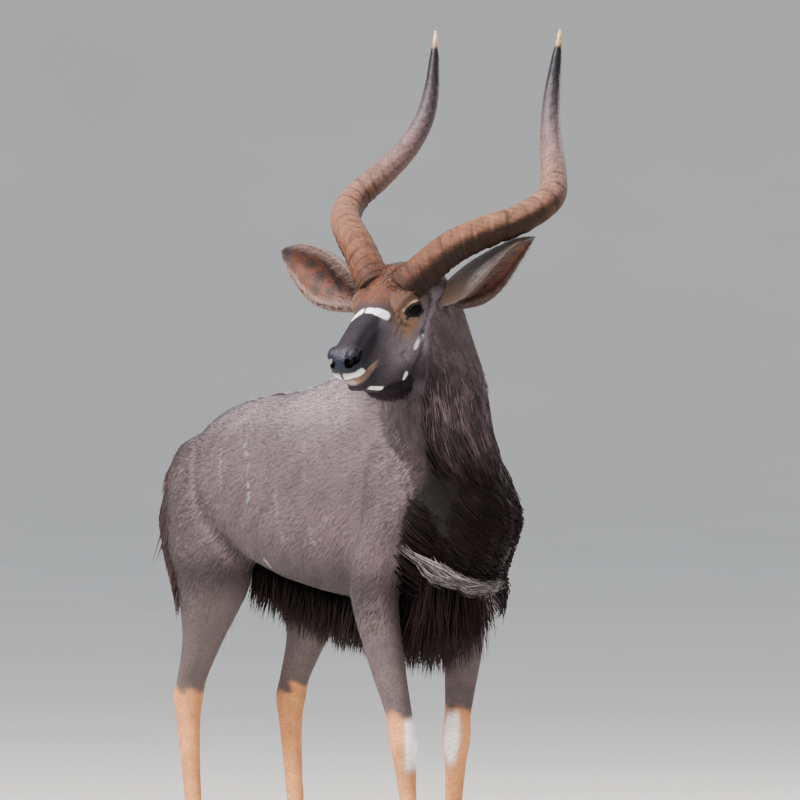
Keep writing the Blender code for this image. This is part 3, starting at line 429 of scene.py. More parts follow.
def settled(item):
    """The object's mesh as its modifiers leave it, and the object removed."""
    bpy.context.view_layer.update()
    graph = bpy.context.evaluated_depsgraph_get()
    mesh = bpy.data.meshes.new_from_object(item.evaluated_get(graph))
    bpy.data.objects.remove(item, do_unlink=True)
    return mesh


def one_skin(meshes, voxel, rounds):
    """The meshes fused into one rounded skin."""
    item = in_scene(joined(meshes))
    remesh = item.modifiers.new("fuse", "REMESH")
    remesh.mode = "VOXEL"
    remesh.voxel_size = voxel
    smooth = item.modifiers.new("round", "SMOOTH")
    smooth.iterations = rounds
    smooth.factor = 0.5
    return settled(item)


def combined(mesh, tools, operation):
    """The mesh with the tool meshes added to it or cut from it in one step."""
    item = in_scene(mesh)
    group = bpy.data.collections.new("tools")
    bpy.context.scene.collection.children.link(group)
    for tool in tools:
        group.objects.link(bpy.data.objects.new("tool", tool))
    change = item.modifiers.new("combine", "BOOLEAN")
    change.operation = operation
    change.operand_type = "COLLECTION"
    change.collection = group
    change.solver = "MANIFOLD"
    mesh = settled(item)
    for tool in list(group.objects):
        bpy.data.objects.remove(tool, do_unlink=True)
    bpy.data.collections.remove(group)
    return mesh


def head_axes():
    """Unit vectors to the nose, to the head's left and up through its forehead."""
    nose = Vector((
        -math.sin(HEAD_TURN) * math.cos(HEAD_DROP),
        -math.cos(HEAD_TURN) * math.cos(HEAD_DROP),
        -math.sin(HEAD_DROP),
    ))
    left = Vector((math.cos(HEAD_TURN), -math.sin(HEAD_TURN), 0.0))
    return nose, left, nose.cross(left)


HEAD_MATRIX = Matrix(head_axes()).transposed()


def head_place(forward, left, up):
    return HEAD_PLACE + HEAD_MATRIX @ Vector((forward, left, up))


def mirrored(place, side):
    return (place[0], place[1] * side, place[2])


def eye_middle(side):
    return head_place(*mirrored(EYE_PLACE, side))


def frame_shift():
    """How far the fixed frame stands from the animal's own frame, read at its left eye."""
    low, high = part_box("eye_left")
    return (Vector(low) + Vector(high)) / 2 - head_place(*EYE_PLACE)


SHIFT = frame_shift()


# Smooth weights, worked out for many points at once

def ramp(low, high, value):
    share = np.clip((value - low) / (high - low), 0.0, 1.0)
    return share * share * (3 - 2 * share)


def unit(vectors):
    return vectors / np.maximum(np.linalg.norm(vectors, axis=-1, keepdims=True), 1e-9)


def in_head(points):
    """The points in the head's frame."""
    return (points - np.array(HEAD_PLACE)) @ np.array(HEAD_MATRIX)


def on_left(head):
    """Places in the head's frame, with those of its right half moved to its left."""
    return head * np.array([1, 0, 1]) + np.abs(head) * np.array([0, 1, 0])


def from_eyes(points):
    """How far each point is from the middle of the nearer eye."""
    return np.min([np.linalg.norm(points - np.array(eye_middle(side)), axis=1) for side in (1, -1)], axis=0)


def line_distance(points, line):
    """How far each point is from a line through a few places."""
    nearest = np.full(len(points), 1e9)
    line = np.array(line, dtype=float)
    for start, end in zip(line, line[1:]):
        way = end - start
        share = np.clip((points - start) @ way / (way @ way), 0, 1)
        nearest = np.minimum(nearest, np.linalg.norm(points - start - share[:, None] * way, axis=1))
    return nearest


def patch(points, centre, radii, softness=0.35):
    """1 inside an oval patch and 0 outside it, with a soft edge."""
    reach = np.linalg.norm((points - np.array(centre)) / np.array(radii), axis=1)
    return 1 - ramp(1 - softness, 1 + softness, reach)


def streak(points, line, width, softness=0.4):
    """1 along a line and 0 away from it, with a soft edge."""
    return 1 - ramp(width * (1 - softness), width * (1 + softness), line_distance(points, line))


def streaks(points, lines):
    """The strongest of a few streaks at each point."""
    return np.max([streak(points, *line) for line in lines], axis=0)


def ripple(points, scale, seed):
    """A smooth wavy number between about -1 and 1, the same at each run."""
    draw = np.random.default_rng(seed)
    total = np.zeros(len(points))
    for _ in range(6):
        way = unit(draw.normal(size=3))
        total += np.sin(points @ way * draw.uniform(0.6, 1.6) / scale * 2 * math.pi + draw.uniform(0, 6.28))
    return total / 2.6


def regions(points):
    """Weights of head, neck, leg and tail. What is left over is the trunk."""
    head = in_head(points)
    over_poll = (head[:, 0] + 0.098) * 0.946 + head[:, 2] * 0.300
    over_throat = (head[:, 0] + 0.090) * 0.156 + (head[:, 2] + 0.130) * 0.988
    head_weight = ramp(-0.020, 0.020, np.minimum(over_poll, over_throat))
    head_weight *= 1 - ramp(0.062, 0.074, np.abs(head[:, 1])) * ramp(-0.020, -0.050, head[:, 2])
    head_weight *= points[:, 2] > 0.98
    over_neck = -(points[:, 1] + 0.140) * 0.735 + (points[:, 2] - 0.930) * 0.678
    neck_weight = ramp(-0.060, 0.050, over_neck) * (1 - head_weight)
    leg_weight = 1 - ramp(0.52, 0.66, points[:, 2])
    tail_weight = ramp(0.875, 0.890, points[:, 1]) * (1 - leg_weight * (points[:, 1] < 0.85))
    leg_weight = leg_weight * (1 - tail_weight)
    return {"head": head_weight, "neck": neck_weight, "leg": leg_weight, "tail": tail_weight}


# The level way to which the wind combs the mane, the animal's left and a little forward
WINDWARD = np.array([0.891, -0.454, 0.0])


def mane_share(points):
    """1 where the dark hair of throat and breast grows, on its leeward side of a soft edge."""
    edge = 0.020 - 0.045 * ramp(0.86, 0.78, points[:, 2])
    side = ramp(-0.018, 0.018, points @ WINDWARD - edge)
    height = ramp(0.62, 0.66, points[:, 2]) * ramp(1.10, 0.95, points[:, 2])
    return side * height * ramp(0.02, -0.09, points[:, 1] + 0.25 * (points[:, 2] - 0.80))


def lie_of_coat(points, normals):
    """The direction the coat lies in at each point, along the skin."""
    weight = regions(points)
    nose, _, up = (np.array(axis) for axis in head_axes())
    low = ramp(0.95, 0.68, points[:, 2])
    trunk_way = np.stack([np.zeros(len(points)), np.full(len(points), 1.0), -0.22 - 0.55 * low], axis=1)
    neck_way = np.array([0.20, 0.10, -1.0])
    head_way = -nose - up * 0.22
    leg_way = np.array([0.0, 0.22, -1.0])
    tail_way = np.array([0.0, 0.10, -1.0])
    way = trunk_way
    for name, target in (("neck", neck_way), ("head", head_way), ("leg", leg_way), ("tail", tail_way)):
        share = weight[name][:, None]
        way = way * (1 - share) + target * share
    way = way - normals * np.sum(way * normals, axis=1, keepdims=True)
    return unit(way)


def trunk_form():
    rings = []
    for y, top, bottom, half_width in smooth_rows(TRUNK, TRUNK_RINGS):
        centre = (0.0, y, (top + bottom) / 2)
        half_height = (top - bottom) / 2
        rings.append(section(
            centre, Vector((1, 0, 0)), Vector((0, 0, 1)), half_width, half_height, TRUNK_POWER, TRUNK_NARROWING
        ))
    return loft(rings)


def head_form(rows):
    _, left, up = head_axes()
    rings = []
    for forward, top, bottom, half_width, power in smooth_rows(rows, HEAD_RINGS):
        centre = head_place(forward, 0.0, (top + bottom) / 2)
        rings.append(section(centre, left, up, half_width, (top - bottom) / 2, power))
    return loft(rings)


def leg_form(name):
    sizes = FORELEG_SIZES if name.startswith("fore") else HINDLEG_SIZES
    rows = [(*place, *size) for place, size in zip(LEG_LINES[name], sizes)]
    return tube(rows, LEG_RINGS, level=True)


def head_forms():
    forms = [head_form(MUZZLE_AND_SKULL), head_form(JAW), tube(NECK, NECK_RINGS)]
    for side in SIDES.values():
        for centre, radii in HEAD_MASSES:
            forms.append(ball(head_place(*mirrored(centre, side)), radii, HEAD_MATRIX))
        forms.append(ball(eye_middle(side), (LID_BALL, LID_BALL, LID_BALL), HEAD_MATRIX))
    return forms


def eye_axes(side):
    """Unit vectors of one eye: where it looks, along its opening, and up."""
    look = (HEAD_MATRIX @ Vector(mirrored(EYE_LOOK, side))).normalized()
    nose, _, _ = head_axes()
    along = (nose - look * nose.dot(look)).normalized()
    rise = look.cross(along) * side
    turn = Matrix.Rotation(EYE_OPENING_TILT * side, 3, look)
    return look, turn @ along, turn @ rise


def almond(count):
    """The eye's opening as places on a flat plane: along and up, as pairs."""
    places = []
    for number in range(count):
        angle = 2 * math.pi * number / count
        height = EYE_OPENING[1] * math.sin(angle) * (1 - LID_CORNER * abs(math.cos(angle)))
        places.append((EYE_OPENING[0] * math.cos(angle), height))
    return places


def eye_plug(side):
    """What is cut from the skin in front of an eye, to open the lids."""
    look, along, rise = eye_axes(side)
    rings = []
    for reach in (EYE_RADIUS * 0.55, EYE_RADIUS * 2.0):
        rings.append([eye_middle(side) + look * reach + along * a + rise * b for a, b in almond(40)])
    return loft(rings)


def mouth_blade():
    """A thin blade that runs round the muzzle at the lips, from one corner to the other."""
    half = smooth_rows(MOUTH_LINE, MOUTH_STEPS)
    line = [mirrored(row, 1) for row in half] + [mirrored(row, -1) for row in half[::-1][1:]]
    _, _, up = head_axes()
    rings = []
    for forward, left, rise in line:
        lip = head_place(forward, left, rise)
        inward = (head_place(MOUTH_MIDDLE, 0.0, rise) - lip).normalized()
        rings.append(section(lip, inward, up, *MOUTH_GROOVE, sides=8))
    return loft(rings)


def carved_head():
    """The fine skin of the head and upper neck, with sockets, nostrils and mouth."""
    skin = one_skin(head_forms(), HEAD_VOXEL, HEAD_ROUNDS)
    tools = [mouth_blade()]
    socket = EYE_RADIUS + SOCKET_GAP
    for side in (1, -1):
        tools.append(ball(eye_middle(side), (socket, socket, socket), HEAD_MATRIX, 40))
        tools.append(eye_plug(side))
        for place, radii in NOSTRIL:
            tools.append(ball(head_place(*mirrored(place, side)), radii, HEAD_MATRIX, 24))
    return combined(skin, tools, "DIFFERENCE")


def over_seam(place):
    """How far a place lies above the slanting seam."""
    return (place - SEAM_PLACE).dot(SEAM_WAY)


def halved(mesh, offset, keep_above):
    """A bmesh of what lies above or below the seam, which is first moved up by the offset."""
    bm = bmesh.new()
    bm.from_mesh(mesh)
    bmesh.ops.bisect_plane(
        bm, geom=bm.verts[:] + bm.edges[:] + bm.faces[:], plane_co=SEAM_PLACE + SEAM_WAY * offset,
        plane_no=SEAM_WAY * (-1 if keep_above else 1), clear_outer=True,
    )
    return bm


def largest_part(bm):
    """Deletes every face that isn't on the largest surface."""
    waiting = set(bm.faces)
    parts = []
    while waiting:
        part = [waiting.pop()]
        for face in part:
            for edge in face.edges:
                for beside in edge.link_faces:
                    if beside in waiting:
                        waiting.remove(beside)
                        part.append(beside)
        parts.append(part)
    keep = set(max(parts, key=len))
    bmesh.ops.delete(bm, geom=[face for face in bm.faces if face not in keep], context="FACES")


def whole_skin():
    """One closed skin: coarse below the slanting seam in the neck and fine above it."""
    body_forms = [trunk_form(), tube(NECK, NECK_RINGS), tube(TAIL_DOCK, TAIL_RINGS)]
    body_forms += [leg_form(name) for name in LEGS]
    lower = halved(one_skin(body_forms, BODY_VOXEL, BODY_ROUNDS), -SEAM_HALF_GAP, False)
    above = [vert for vert in lower.verts if over_seam(vert.co) > 1e-5 - SEAM_HALF_GAP]
    bmesh.ops.delete(lower, geom=above, context="VERTS")
    largest_part(lower)
    upper = halved(carved_head(), SEAM_HALF_GAP, True)
    largest_part(upper)
    bm = bmesh.new()
    for half in (lower, upper):
        bm.from_mesh(mesh_from(half, "half"))
    rims = [edge for edge in bm.edges if len(edge.link_faces) == 1]
    bmesh.ops.bridge_loops(bm, edges=rims)
    bmesh.ops.triangulate(bm, faces=bm.faces)
    near_seam = [vert for vert in bm.verts if abs(over_seam(vert.co)) < SEAM_SMOOTHED]
    for _ in range(6):
        bmesh.ops.smooth_vert(bm, verts=near_seam, factor=0.5, use_axis_x=True, use_axis_y=True, use_axis_z=True)
    bmesh.ops.recalc_face_normals(bm, faces=bm.faces)
    return mesh_from(bm, "skin")


def shaped_skin(mesh):
    """Sinks the skin under the coat's depth and presses the folds of the head into it."""
    points, normals = places_of(mesh), normals_of(mesh)
    weight = regions(points)
    depth = np.full(len(points), COAT_DEPTH["trunk"])
    for part in ("leg", "head"):
        depth = depth * (1 - weight[part]) + COAT_DEPTH[part] * weight[part]
    for line, groove, width in FOLDS:
        away = line_distance(on_left(in_head(points)), line)
        depth += groove * np.exp(-(away / width) ** 2) * weight["head"]
        depth -= FOLD_RISE * groove * np.exp(-((away - FOLD_RISE_PLACE * width) / width) ** 2) * weight["head"]
    depth[from_eyes(points) < EYE_RADIUS + SOCKET_EDGE] = 0.0
    muscle = ripple(points, MUSCLE_SIZE, 5) * MUSCLE_DEPTH * (1 - weight["head"]) * (1 - weight["leg"])
    mesh.vertices.foreach_set("co", (points - normals * (depth + muscle)[:, None]).ravel())
    mesh.update()


def places_of(mesh):
    values = np.empty(len(mesh.vertices) * 3)
    mesh.vertices.foreach_get("co", values)
    return values.reshape(-1, 3)


def normals_of(mesh):
    values = np.empty(len(mesh.vertices) * 3)
    mesh.vertices.foreach_get("normal", values)
    return values.reshape(-1, 3)


def triangles_of(mesh):
    """Vertex numbers of each triangle."""
    mesh.calc_loop_triangles()
    values = np.empty(len(mesh.loop_triangles) * 3, dtype=np.int32)
    mesh.loop_triangles.foreach_get("vertices", values)
    return values.reshape(-1, 3)


def around(across, ahead):
    """The direction of each place about a middle line, as a share of the whole turn."""
    return np.arctan2(across, ahead) / (2 * math.pi) + 0.5


def unwrapped(points):
    """Where each point of the skin lies on its unwrap: rings of each part laid out flat."""
    weight = regions(points)
    x, y, z = points.T
    ahead, left, up = in_head(points).T
    column = (x > 0) * 1 + (y > 0.35) * 2
    leg_middle = np.where(column % 2, 0.095, -0.095)
    leg_forward = np.select([column == 0, column == 1, column == 2], [-0.11, -0.01, 0.78], 0.70)
    leg_turn = around(x - leg_middle, y - leg_forward)
    flat = np.stack([0.02 + 0.46 * around(x, 0.83 - z), 0.02 + 0.46 * (y + 0.32) / 1.26], axis=1)
    places = {
        "neck": (0.52 + 0.46 * around(x + 0.03, y + 0.10), 0.02 + 0.26 * (z - 0.75) / 0.55),
        "head": (0.52 + 0.46 * around(left, -up - 0.03), 0.52 + 0.46 * (ahead + 0.15) / 0.38),
        "leg": (0.02 + 0.115 * column + 0.10 * leg_turn, 0.52 + 0.46 * z / 0.66),
        "tail": (0.52 + 0.20 * around(x, y - 0.895), 0.30 + 0.18 * (z - 0.58) / 0.36),
    }
    for part, place in places.items():
        flat = np.where((weight[part] > 0.5)[:, None], np.stack(place, axis=1), flat)
    return np.clip(flat, 0.003, 0.997)


# Colours of the coat

def many(value, count):
    return np.tile(np.array(value, dtype=float), (count, 1))


def mix(colour, target, share):
    return colour * (1 - share[:, None]) + np.array(target) * share[:, None]


def layered(colour, layers):
    """The colour with shades laid over it in turn, each by its share at every point."""
    for shade, share in layers:
        colour = mix(colour, SHADES[shade], share)
    return colour


SHADES = {
    "body": (0.098, 0.064, 0.074),
    # a painted highlight along the top of the back
    "back": (0.225, 0.172, 0.182),
    "belly": (0.026, 0.017, 0.016),
    "haunch_edge": (0.050, 0.030, 0.026),
    "neck": (0.100, 0.068, 0.074),
    "mane": (0.006, 0.0028, 0.0026),
    "white": (0.80, 0.77, 0.75),
    "pale": (0.46, 0.41, 0.40),
    "leg": (0.084, 0.062, 0.060),
    "orange": (0.56, 0.23, 0.085),
    "hoof_band": (0.12, 0.065, 0.040),
    "forehead": (0.092, 0.028, 0.009),
    "face": (0.083, 0.065, 0.073),
    "bridge": (0.0095, 0.0065, 0.0105),
    "eye_patch": (0.170, 0.090, 0.050),
    # dark hair of jaw and throat, also used as painted shade under the jaw
    "jaw": (0.020, 0.014, 0.017),
    "nose": (0.007, 0.009, 0.018),
    "lid": (0.006, 0.004, 0.004),
    # near black painted shade inside the nostrils and along the groove of the mouth
    "hollow_shade": (0.002, 0.001, 0.001),
    "brow": (0.030, 0.016, 0.013),
    "brow_line": (0.50, 0.36, 0.25),
    "lip": (0.215, 0.140, 0.098),
    "lash": (0.010, 0.008, 0.008),
    "eye": (0.004, 0.003, 0.003),
    "iris": (0.006, 0.003, 0.002),
    "pupil": (0.002, 0.002, 0.003),
    "horn_root": (0.050, 0.024, 0.015),
    # painted shade on the underside of the horns
    "horn_painted_shade": (0.010, 0.004, 0.002),
    "ear_inside": (0.102, 0.026, 0.010),
    "ear_blotch": (0.012, 0.006, 0.005),
    "ear_cup": (0.065, 0.034, 0.030),
    "ear_outside": (0.046, 0.034, 0.034),
    "ear_root": (0.110, 0.058, 0.034),
    "ear_edge": (0.170, 0.108, 0.085),
    "ear_tip": (0.024, 0.019, 0.020),
    "ear_fringe": (0.26, 0.20, 0.18),
    "hoof": (0.022, 0.018, 0.017),
    "hoof_sole": (0.060, 0.046, 0.038),
    "floor": (0.66, 0.645, 0.61),
    "air": (0.80, 0.84, 0.92),
}

# Marks of the face in the head's frame, each a line with its half width and softness
CHEVRON = [
    ([(0.0665, 0.0060, 0.038), (0.0625, 0.022, 0.033)], 0.0068, 0.2),
    ([(0.0620, 0.024, 0.032), (0.0560, 0.037, 0.021)], 0.0088, 0.2),
    ([(0.069, -0.005, 0.038), (0.077, -0.013, 0.034), (0.085, -0.022, 0.028)], 0.0066, 0.2),
]
CHEEK_SPOTS = [
    ([(-0.008, 0.060, -0.062), (0.016, 0.054, -0.075)], 0.0050, 0.2),
    ([(0.050, 0.038, -0.116), (0.056, 0.036, -0.122)], 0.0050, 0.2),
]
BROW_LINE = ([(0.024, 0.058, 0.014), (0.004, 0.070, 0.019), (-0.018, 0.074, 0.013)], 0.0028)
TEAR_LINE = ([(0.016, 0.065, 0.000), (0.025, 0.061, -0.004)], 0.0034)
UPPER_LIP = ([(0.2000, 0.0080, -0.035), (0.193, 0.020, -0.036), (0.178, 0.030, -0.039)], 0.0100, 0.2)
LIP_CORNER = ([(0.172, 0.030, -0.042), (0.150, 0.035, -0.047)], 0.0032, 0.4)
CHIN_LINE = ([(0.150, 0.018, -0.090), (0.118, 0.022, -0.110)], 0.0050, 0.3)

# The dark brown of the throat under the jaw, in the animal's frame: dark hair, and painted shade where the jaw hangs
# over the neck
THROAT = ([(-0.110, -0.215, 1.030), (-0.070, -0.165, 1.040), (-0.030, -0.150, 0.990)], 0.056, 0.7)

# White marks of each side: the main stripe as y and z, fainter ones, and spots of the haunch
MAIN_STRIPE = [(0.459, 0.918), (0.405, 0.865), (0.378, 0.775), (0.364, 0.720), (0.372, 0.672)]
FAINT_STRIPES = [
    [(0.200, 0.930), (0.165, 0.800), (0.150, 0.700)],
    [(0.315, 0.935), (0.272, 0.800), (0.256, 0.690)],
    [(0.570, 0.900), (0.530, 0.820), (0.512, 0.740)],
]
STRIPE_HALF_WIDTH = 0.0013
HAUNCH_SPOTS = [(0.594, 0.723), (0.601, 0.707), (0.694, 0.679)]
SPOT_RADIUS = 0.0045


def on_flank(points, line):
    """How far each point is from a line on the flank, seen from the side."""
    flat = points * np.array([0, 1, 1])
    return line_distance(flat, [(0.0, y, z) for y, z in line])


def head_colours(points, colour, weight):
    """The face: orange forehead, dark bridge, white chevron, spots, lips and chin."""
    head = in_head(points)
    side = on_left(head)
    ahead, out, rise = side.T
    face = mix(colour, SHADES["face"], weight)
    # Painted light: the cheek below the eye is made lighter
    lit = ramp(0.000, -0.045, rise) * ramp(-0.110, -0.080, rise) * ramp(0.10, 0.04, ahead) * 0.7
    face = face * (1 + lit * weight)[:, None]
    bridge = ramp(0.040, 0.085, ahead) * ramp(-0.030, 0.004, rise) * (1 - ramp(0.026, 0.044, out))
    brow = ramp(-0.150, -0.110, ahead) * (1 - ramp(0.056, 0.068, ahead)) * ramp(-0.004, 0.014, rise)
    forehead = ramp(-0.150, -0.110, ahead) * (1 - ramp(0.034, 0.058, ahead + 0.35 * out))
    forehead = forehead * ramp(0.002, 0.028, rise) * (1 - ramp(0.046, 0.070, out))
    blotch = np.clip(0.62 + 0.38 * ripple(points, 0.022, 44), 0, 1)
    around_eye = patch(side, (0.010, 0.062, 0.002), (0.044, 0.034, 0.032), 0.5)
    under_eye = patch(side, (0.022, 0.058, -0.034), (0.030, 0.030, 0.020), 0.75)
    tear = np.maximum(streak(side, *TEAR_LINE), patch(side, EYE_PLACE, (0.0205, 0.020, 0.0145), 0.15))
    # The underside of the jaw is painted dark: dark hair, and painted shade under the jaw
    jaw = (1 - ramp(-0.124, -0.076, rise + 0.30 * np.maximum(ahead - 0.09, 0))) * ramp(-0.14, -0.08, ahead)
    lips = ramp(0.104, 0.122, ahead) * ramp(-0.043, -0.047, rise) * ramp(-0.066, -0.060, rise)
    upper_lip = np.maximum(streak(side, *UPPER_LIP), streak(side, *LIP_CORNER) * 0.7)
    lower_lip = patch(side, (0.180, 0.0, -0.060), (0.010, 0.012, 0.006), 0.6) * 0.25
    layers = (
        ("bridge", np.clip(bridge + ramp(0.050, 0.150, ahead) * 0.85, 0, 1)),
        ("brow", brow * 0.85),
        ("forehead", forehead * blotch),
        ("eye_patch", np.clip(around_eye * 0.75 + under_eye * 0.50, 0, 0.85)),
        ("brow_line", streak(side, *BROW_LINE) * 0.8),
        ("lid", np.maximum(tear, lid_shade(side))),
        ("jaw", jaw * 0.92),
        ("lip", lips * 0.9),
        ("white", streaks(head, CHEVRON) * ramp(0.0014, 0.0032, out)),
        ("white", upper_lip * ramp(0.0012, 0.0030, out)),
        ("white", np.maximum(streak(side, *CHIN_LINE), lower_lip) * 0.95),
        # Painted shade: a near black line along the groove of the mouth
        ("hollow_shade", streak(side, MOUTH_LINE, 0.0022, 0.4)),
        ("white", streaks(side, CHEEK_SPOTS)),
    )
    return layered(face, [(shade, weight * share) for shade, share in layers])


def lid_shade(side_points):
    """1 on the dark bare skin of the lids, read on the left side of the head."""
    look, along, rise = (np.array(HEAD_MATRIX.transposed() @ axis) for axis in eye_axes(1))
    away = side_points - np.array(EYE_PLACE)
    oval = np.hypot(away @ along / EYE_OPENING[0] / 1.22, away @ rise / EYE_OPENING[1])
    return (1 - ramp(1.22, 1.40, oval)) * (away @ look > 0)


def nose_pad(points):
    """1 on the bare wet skin of the nose."""
    side = on_left(in_head(points))
    pad = patch(side, (0.187, 0.0, -0.009), (0.031, 0.042, 0.024), 0.40)
    strip = patch(side, (0.202, 0.0, -0.030), (0.014, 0.0034, 0.020), 0.2)
    return np.maximum(pad, strip)


def nostril_hollow_shade(points):
    """1 inside the nostrils and close round them, where the hollows are painted dark as shade."""
    side = on_left(in_head(points))
    inside = [patch(side, place, np.array(radii) * 1.12, 0.06) for place, radii in NOSTRIL]
    return np.max(inside, axis=0)


def coat_colours(points):
    """The colour of skin and coat at each point of the animal, in its own frame."""
    weight = regions(points)
    x, y, z = points.T
    fore = y < 0.30
    on_leg = weight["leg"] > 0.5
    off_head = 1 - weight["head"]
    crest = (1 - ramp(0.006, 0.016, np.abs(x))) * ramp(0.86, 0.90, z) * ramp(-0.01, 0.08, y)
    orange = ramp(0.012, -0.012, z - np.where(fore, 0.385, 0.400) - 0.01 * ripple(points, 0.05, 9)) * on_leg
    middle_y = np.where(fore, np.where(x < 0, -0.116, -0.006), np.where(x < 0, 0.834, 0.744))
    inward_front = WINDWARD[0] * (0.091 - np.abs(x)) + WINDWARD[1] * (y - middle_y)
    strip = fore * ramp(-0.004, 0.004, inward_front - np.where(x < 0, 0.009, 0.021))
    strip = strip * ramp(0.27, 0.29, z) * ramp(0.392, 0.380, z)
    layers = [
        # Painted highlight: the top of the back is made lighter, as if lit from above
        ("back", ramp(0.88, 1.03, z) * ramp(0.0, 0.10, y) * 0.8),
        ("belly", ramp(0.70, 0.63, z) * (1 - weight["leg"]) * 0.9),
        ("haunch_edge", ramp(0.76, 0.83, y + 0.05 * ramp(0.85, 0.65, z)) * 0.85),
    ]
    for line in FAINT_STRIPES:
        slim = 1 - ramp(STRIPE_HALF_WIDTH, STRIPE_HALF_WIDTH * 4, on_flank(points, line))
        layers.append(("pale", slim * (np.abs(x) > 0.05) * 0.22 * ramp(-0.6, 0.6, ripple(points, 0.05, 17))))
    layers += [
        ("pale", crest * 0.9),
        ("neck", weight["neck"]),
        ("mane", mane_share(points) * off_head * ramp(1.06, 0.90, z) * 0.95),
        # Painted shade and dark hair on the throat under the jaw
        ("jaw", streak(points, *THROAT) * off_head * 0.8),
        ("mane", weight["neck"] * ramp(-0.05, 0.0, y) * 0.7),
        ("leg", weight["leg"] * ramp(0.66, 0.55, z)),
        ("orange", orange * 0.95),
        ("white", strip * orange * 0.9),
        ("hoof_band", ramp(0.100, 0.075, z) * on_leg * 0.85),
        ("belly", weight["tail"] * 0.6),
    ]
    colour = layered(many(SHADES["body"], len(points)), layers)
    colour = head_colours(points, colour, weight["head"])
    # Painted shade: the insides of the nostrils are made near black
    colour = layered(colour, [("nose", nose_pad(points)), ("hollow_shade", nostril_hollow_shade(points))])
    patchy = 1 + 0.12 * ripple(points, 0.12, 21) * off_head + 0.07 * ripple(points, 0.03, 22)
    return np.clip(colour * patchy[:, None], 0.001, 0.9)


# Materials

def preset(node, values):
    """The node, with its inputs of these names set."""
    for name, value in values.items():
        node.inputs[name].default_value = value
    return node


def new_material(name):
    material = bpy.data.materials.new(name)
    material.use_nodes = True
    nodes = material.node_tree.nodes
    return material, nodes, material.node_tree.links, nodes["Principled BSDF"]


def painted(nodes, name="Coat"):
    """What was painted on the mesh under this name."""
    node = nodes.new("ShaderNodeAttribute")
    node.attribute_name = name
    return node.outputs["Color" if name == "Coat" else "Fac"]


def object_noise(nodes, links, scale, detail, roughness=0.6, stretch=(1, 1, 1)):
    """Noise on Object coordinates, stretched along the axes."""
    place = nodes.new("ShaderNodeTexCoord")
    mapping = preset(nodes.new("ShaderNodeMapping"), {"Scale": stretch})
    noise = preset(nodes.new("ShaderNodeTexNoise"), {"Scale": scale, "Detail": detail, "Roughness": roughness})
    links.new(place.outputs["Object"], mapping.inputs["Vector"])
    links.new(mapping.outputs["Vector"], noise.inputs["Vector"])
    return noise.outputs["Fac"]


def mapped(nodes, links, value, values):
    """The value brought to another range, given by the node's own inputs."""
    span = preset(nodes.new("ShaderNodeMapRange"), values)
    links.new(value, span.inputs["Value"])
    return span.outputs["Result"]


def varied_colour(nodes, links, colour, noise, low, high):
    """The colour made darker and lighter by the noise."""
    product = nodes.new("ShaderNodeVectorMath")
    product.operation = "SCALE"
    links.new(colour, product.inputs[0])
    change = mapped(nodes, links, noise, {"From Min": 0.3, "From Max": 0.7, "To Min": low, "To Max": high})
    links.new(change, product.inputs["Scale"])
    return product.outputs["Vector"]


def bump(nodes, links, height, strength, distance, before=None):
    node = preset(nodes.new("ShaderNodeBump"), {"Strength": strength, "Distance": distance})
    links.new(height, node.inputs["Height"])
    if before is not None:
        links.new(before, node.inputs["Normal"])
    return node.outputs["Normal"]


def coat_material(name, noise_shape, change, values, relief=None):
    """A material of the painted colour, which one noise varies and may raise."""
    material, nodes, links, shader = new_material(name)
    noise = object_noise(nodes, links, *noise_shape)
    links.new(varied_colour(nodes, links, painted(nodes), noise, *change), shader.inputs["Base Color"])
    preset(shader, values)
    if relief:
        links.new(bump(nodes, links, noise, *relief), shader.inputs["Normal"])
    return material, noise


def fur_material(name, roughness=0.60, sheen=0.05, scale=180.0, gloss=0.30):
    """Hair that takes its colour from the coat and varies a little from lock to lock."""
    values = {"Roughness": roughness, "Sheen Weight": sheen, "Sheen Roughness": 0.4, "Specular IOR Level": gloss}
    return coat_material(name, (scale, 3.0), (0.70, 1.30), values)[0]


def skin_material():
    """Short fur as bump, and the bare wet skin of the nose."""
    hair_shape = (420.0, 5.0, 0.65, (1.0, 0.35, 0.6))
    material, hair = coat_material("skin", hair_shape, (0.62, 1.34), {"Specular IOR Level": 0.22})
    nodes, links = material.node_tree.nodes, material.node_tree.links
    shader = nodes["Principled BSDF"]
    wet = painted(nodes, "Wet")
    pebbles = preset(nodes.new("ShaderNodeTexVoronoi"), {"Scale": 520.0})
    links.new(nodes.new("ShaderNodeTexCoord").outputs["Object"], pebbles.inputs["Vector"])
    relief = nodes.new("ShaderNodeMix")
    links.new(wet, relief.inputs["Factor"])
    links.new(hair, relief.inputs["A"])
    links.new(pebbles.outputs["Distance"], relief.inputs["B"])
    links.new(bump(nodes, links, relief.outputs["Result"], 0.55, 0.0012), shader.inputs["Normal"])
    links.new(mapped(nodes, links, wet, {"To Min": 0.75, "To Max": 0.36}), shader.inputs["Roughness"])
    return material


def horn_material():
    """Grained horn: fine lines along it, with low gloss that rises towards the tip."""
    material, grain = coat_material("horn", (240.0, 6.0, 0.7), (0.72, 1.30), {"Specular IOR Level": 0.20})
    nodes, links = material.node_tree.nodes, material.node_tree.links
    shader = nodes["Principled BSDF"]
    gloss = mapped(nodes, links, painted(nodes, "Polish"), {"To Min": 0.72, "To Max": 0.30})
    links.new(gloss, shader.inputs["Roughness"])
    coarse = bump(nodes, links, object_noise(nodes, links, 60.0, 5.0), 0.8, 0.0026)
    links.new(bump(nodes, links, grain, 0.8, 0.0010, coarse), shader.inputs["Normal"])
    return material


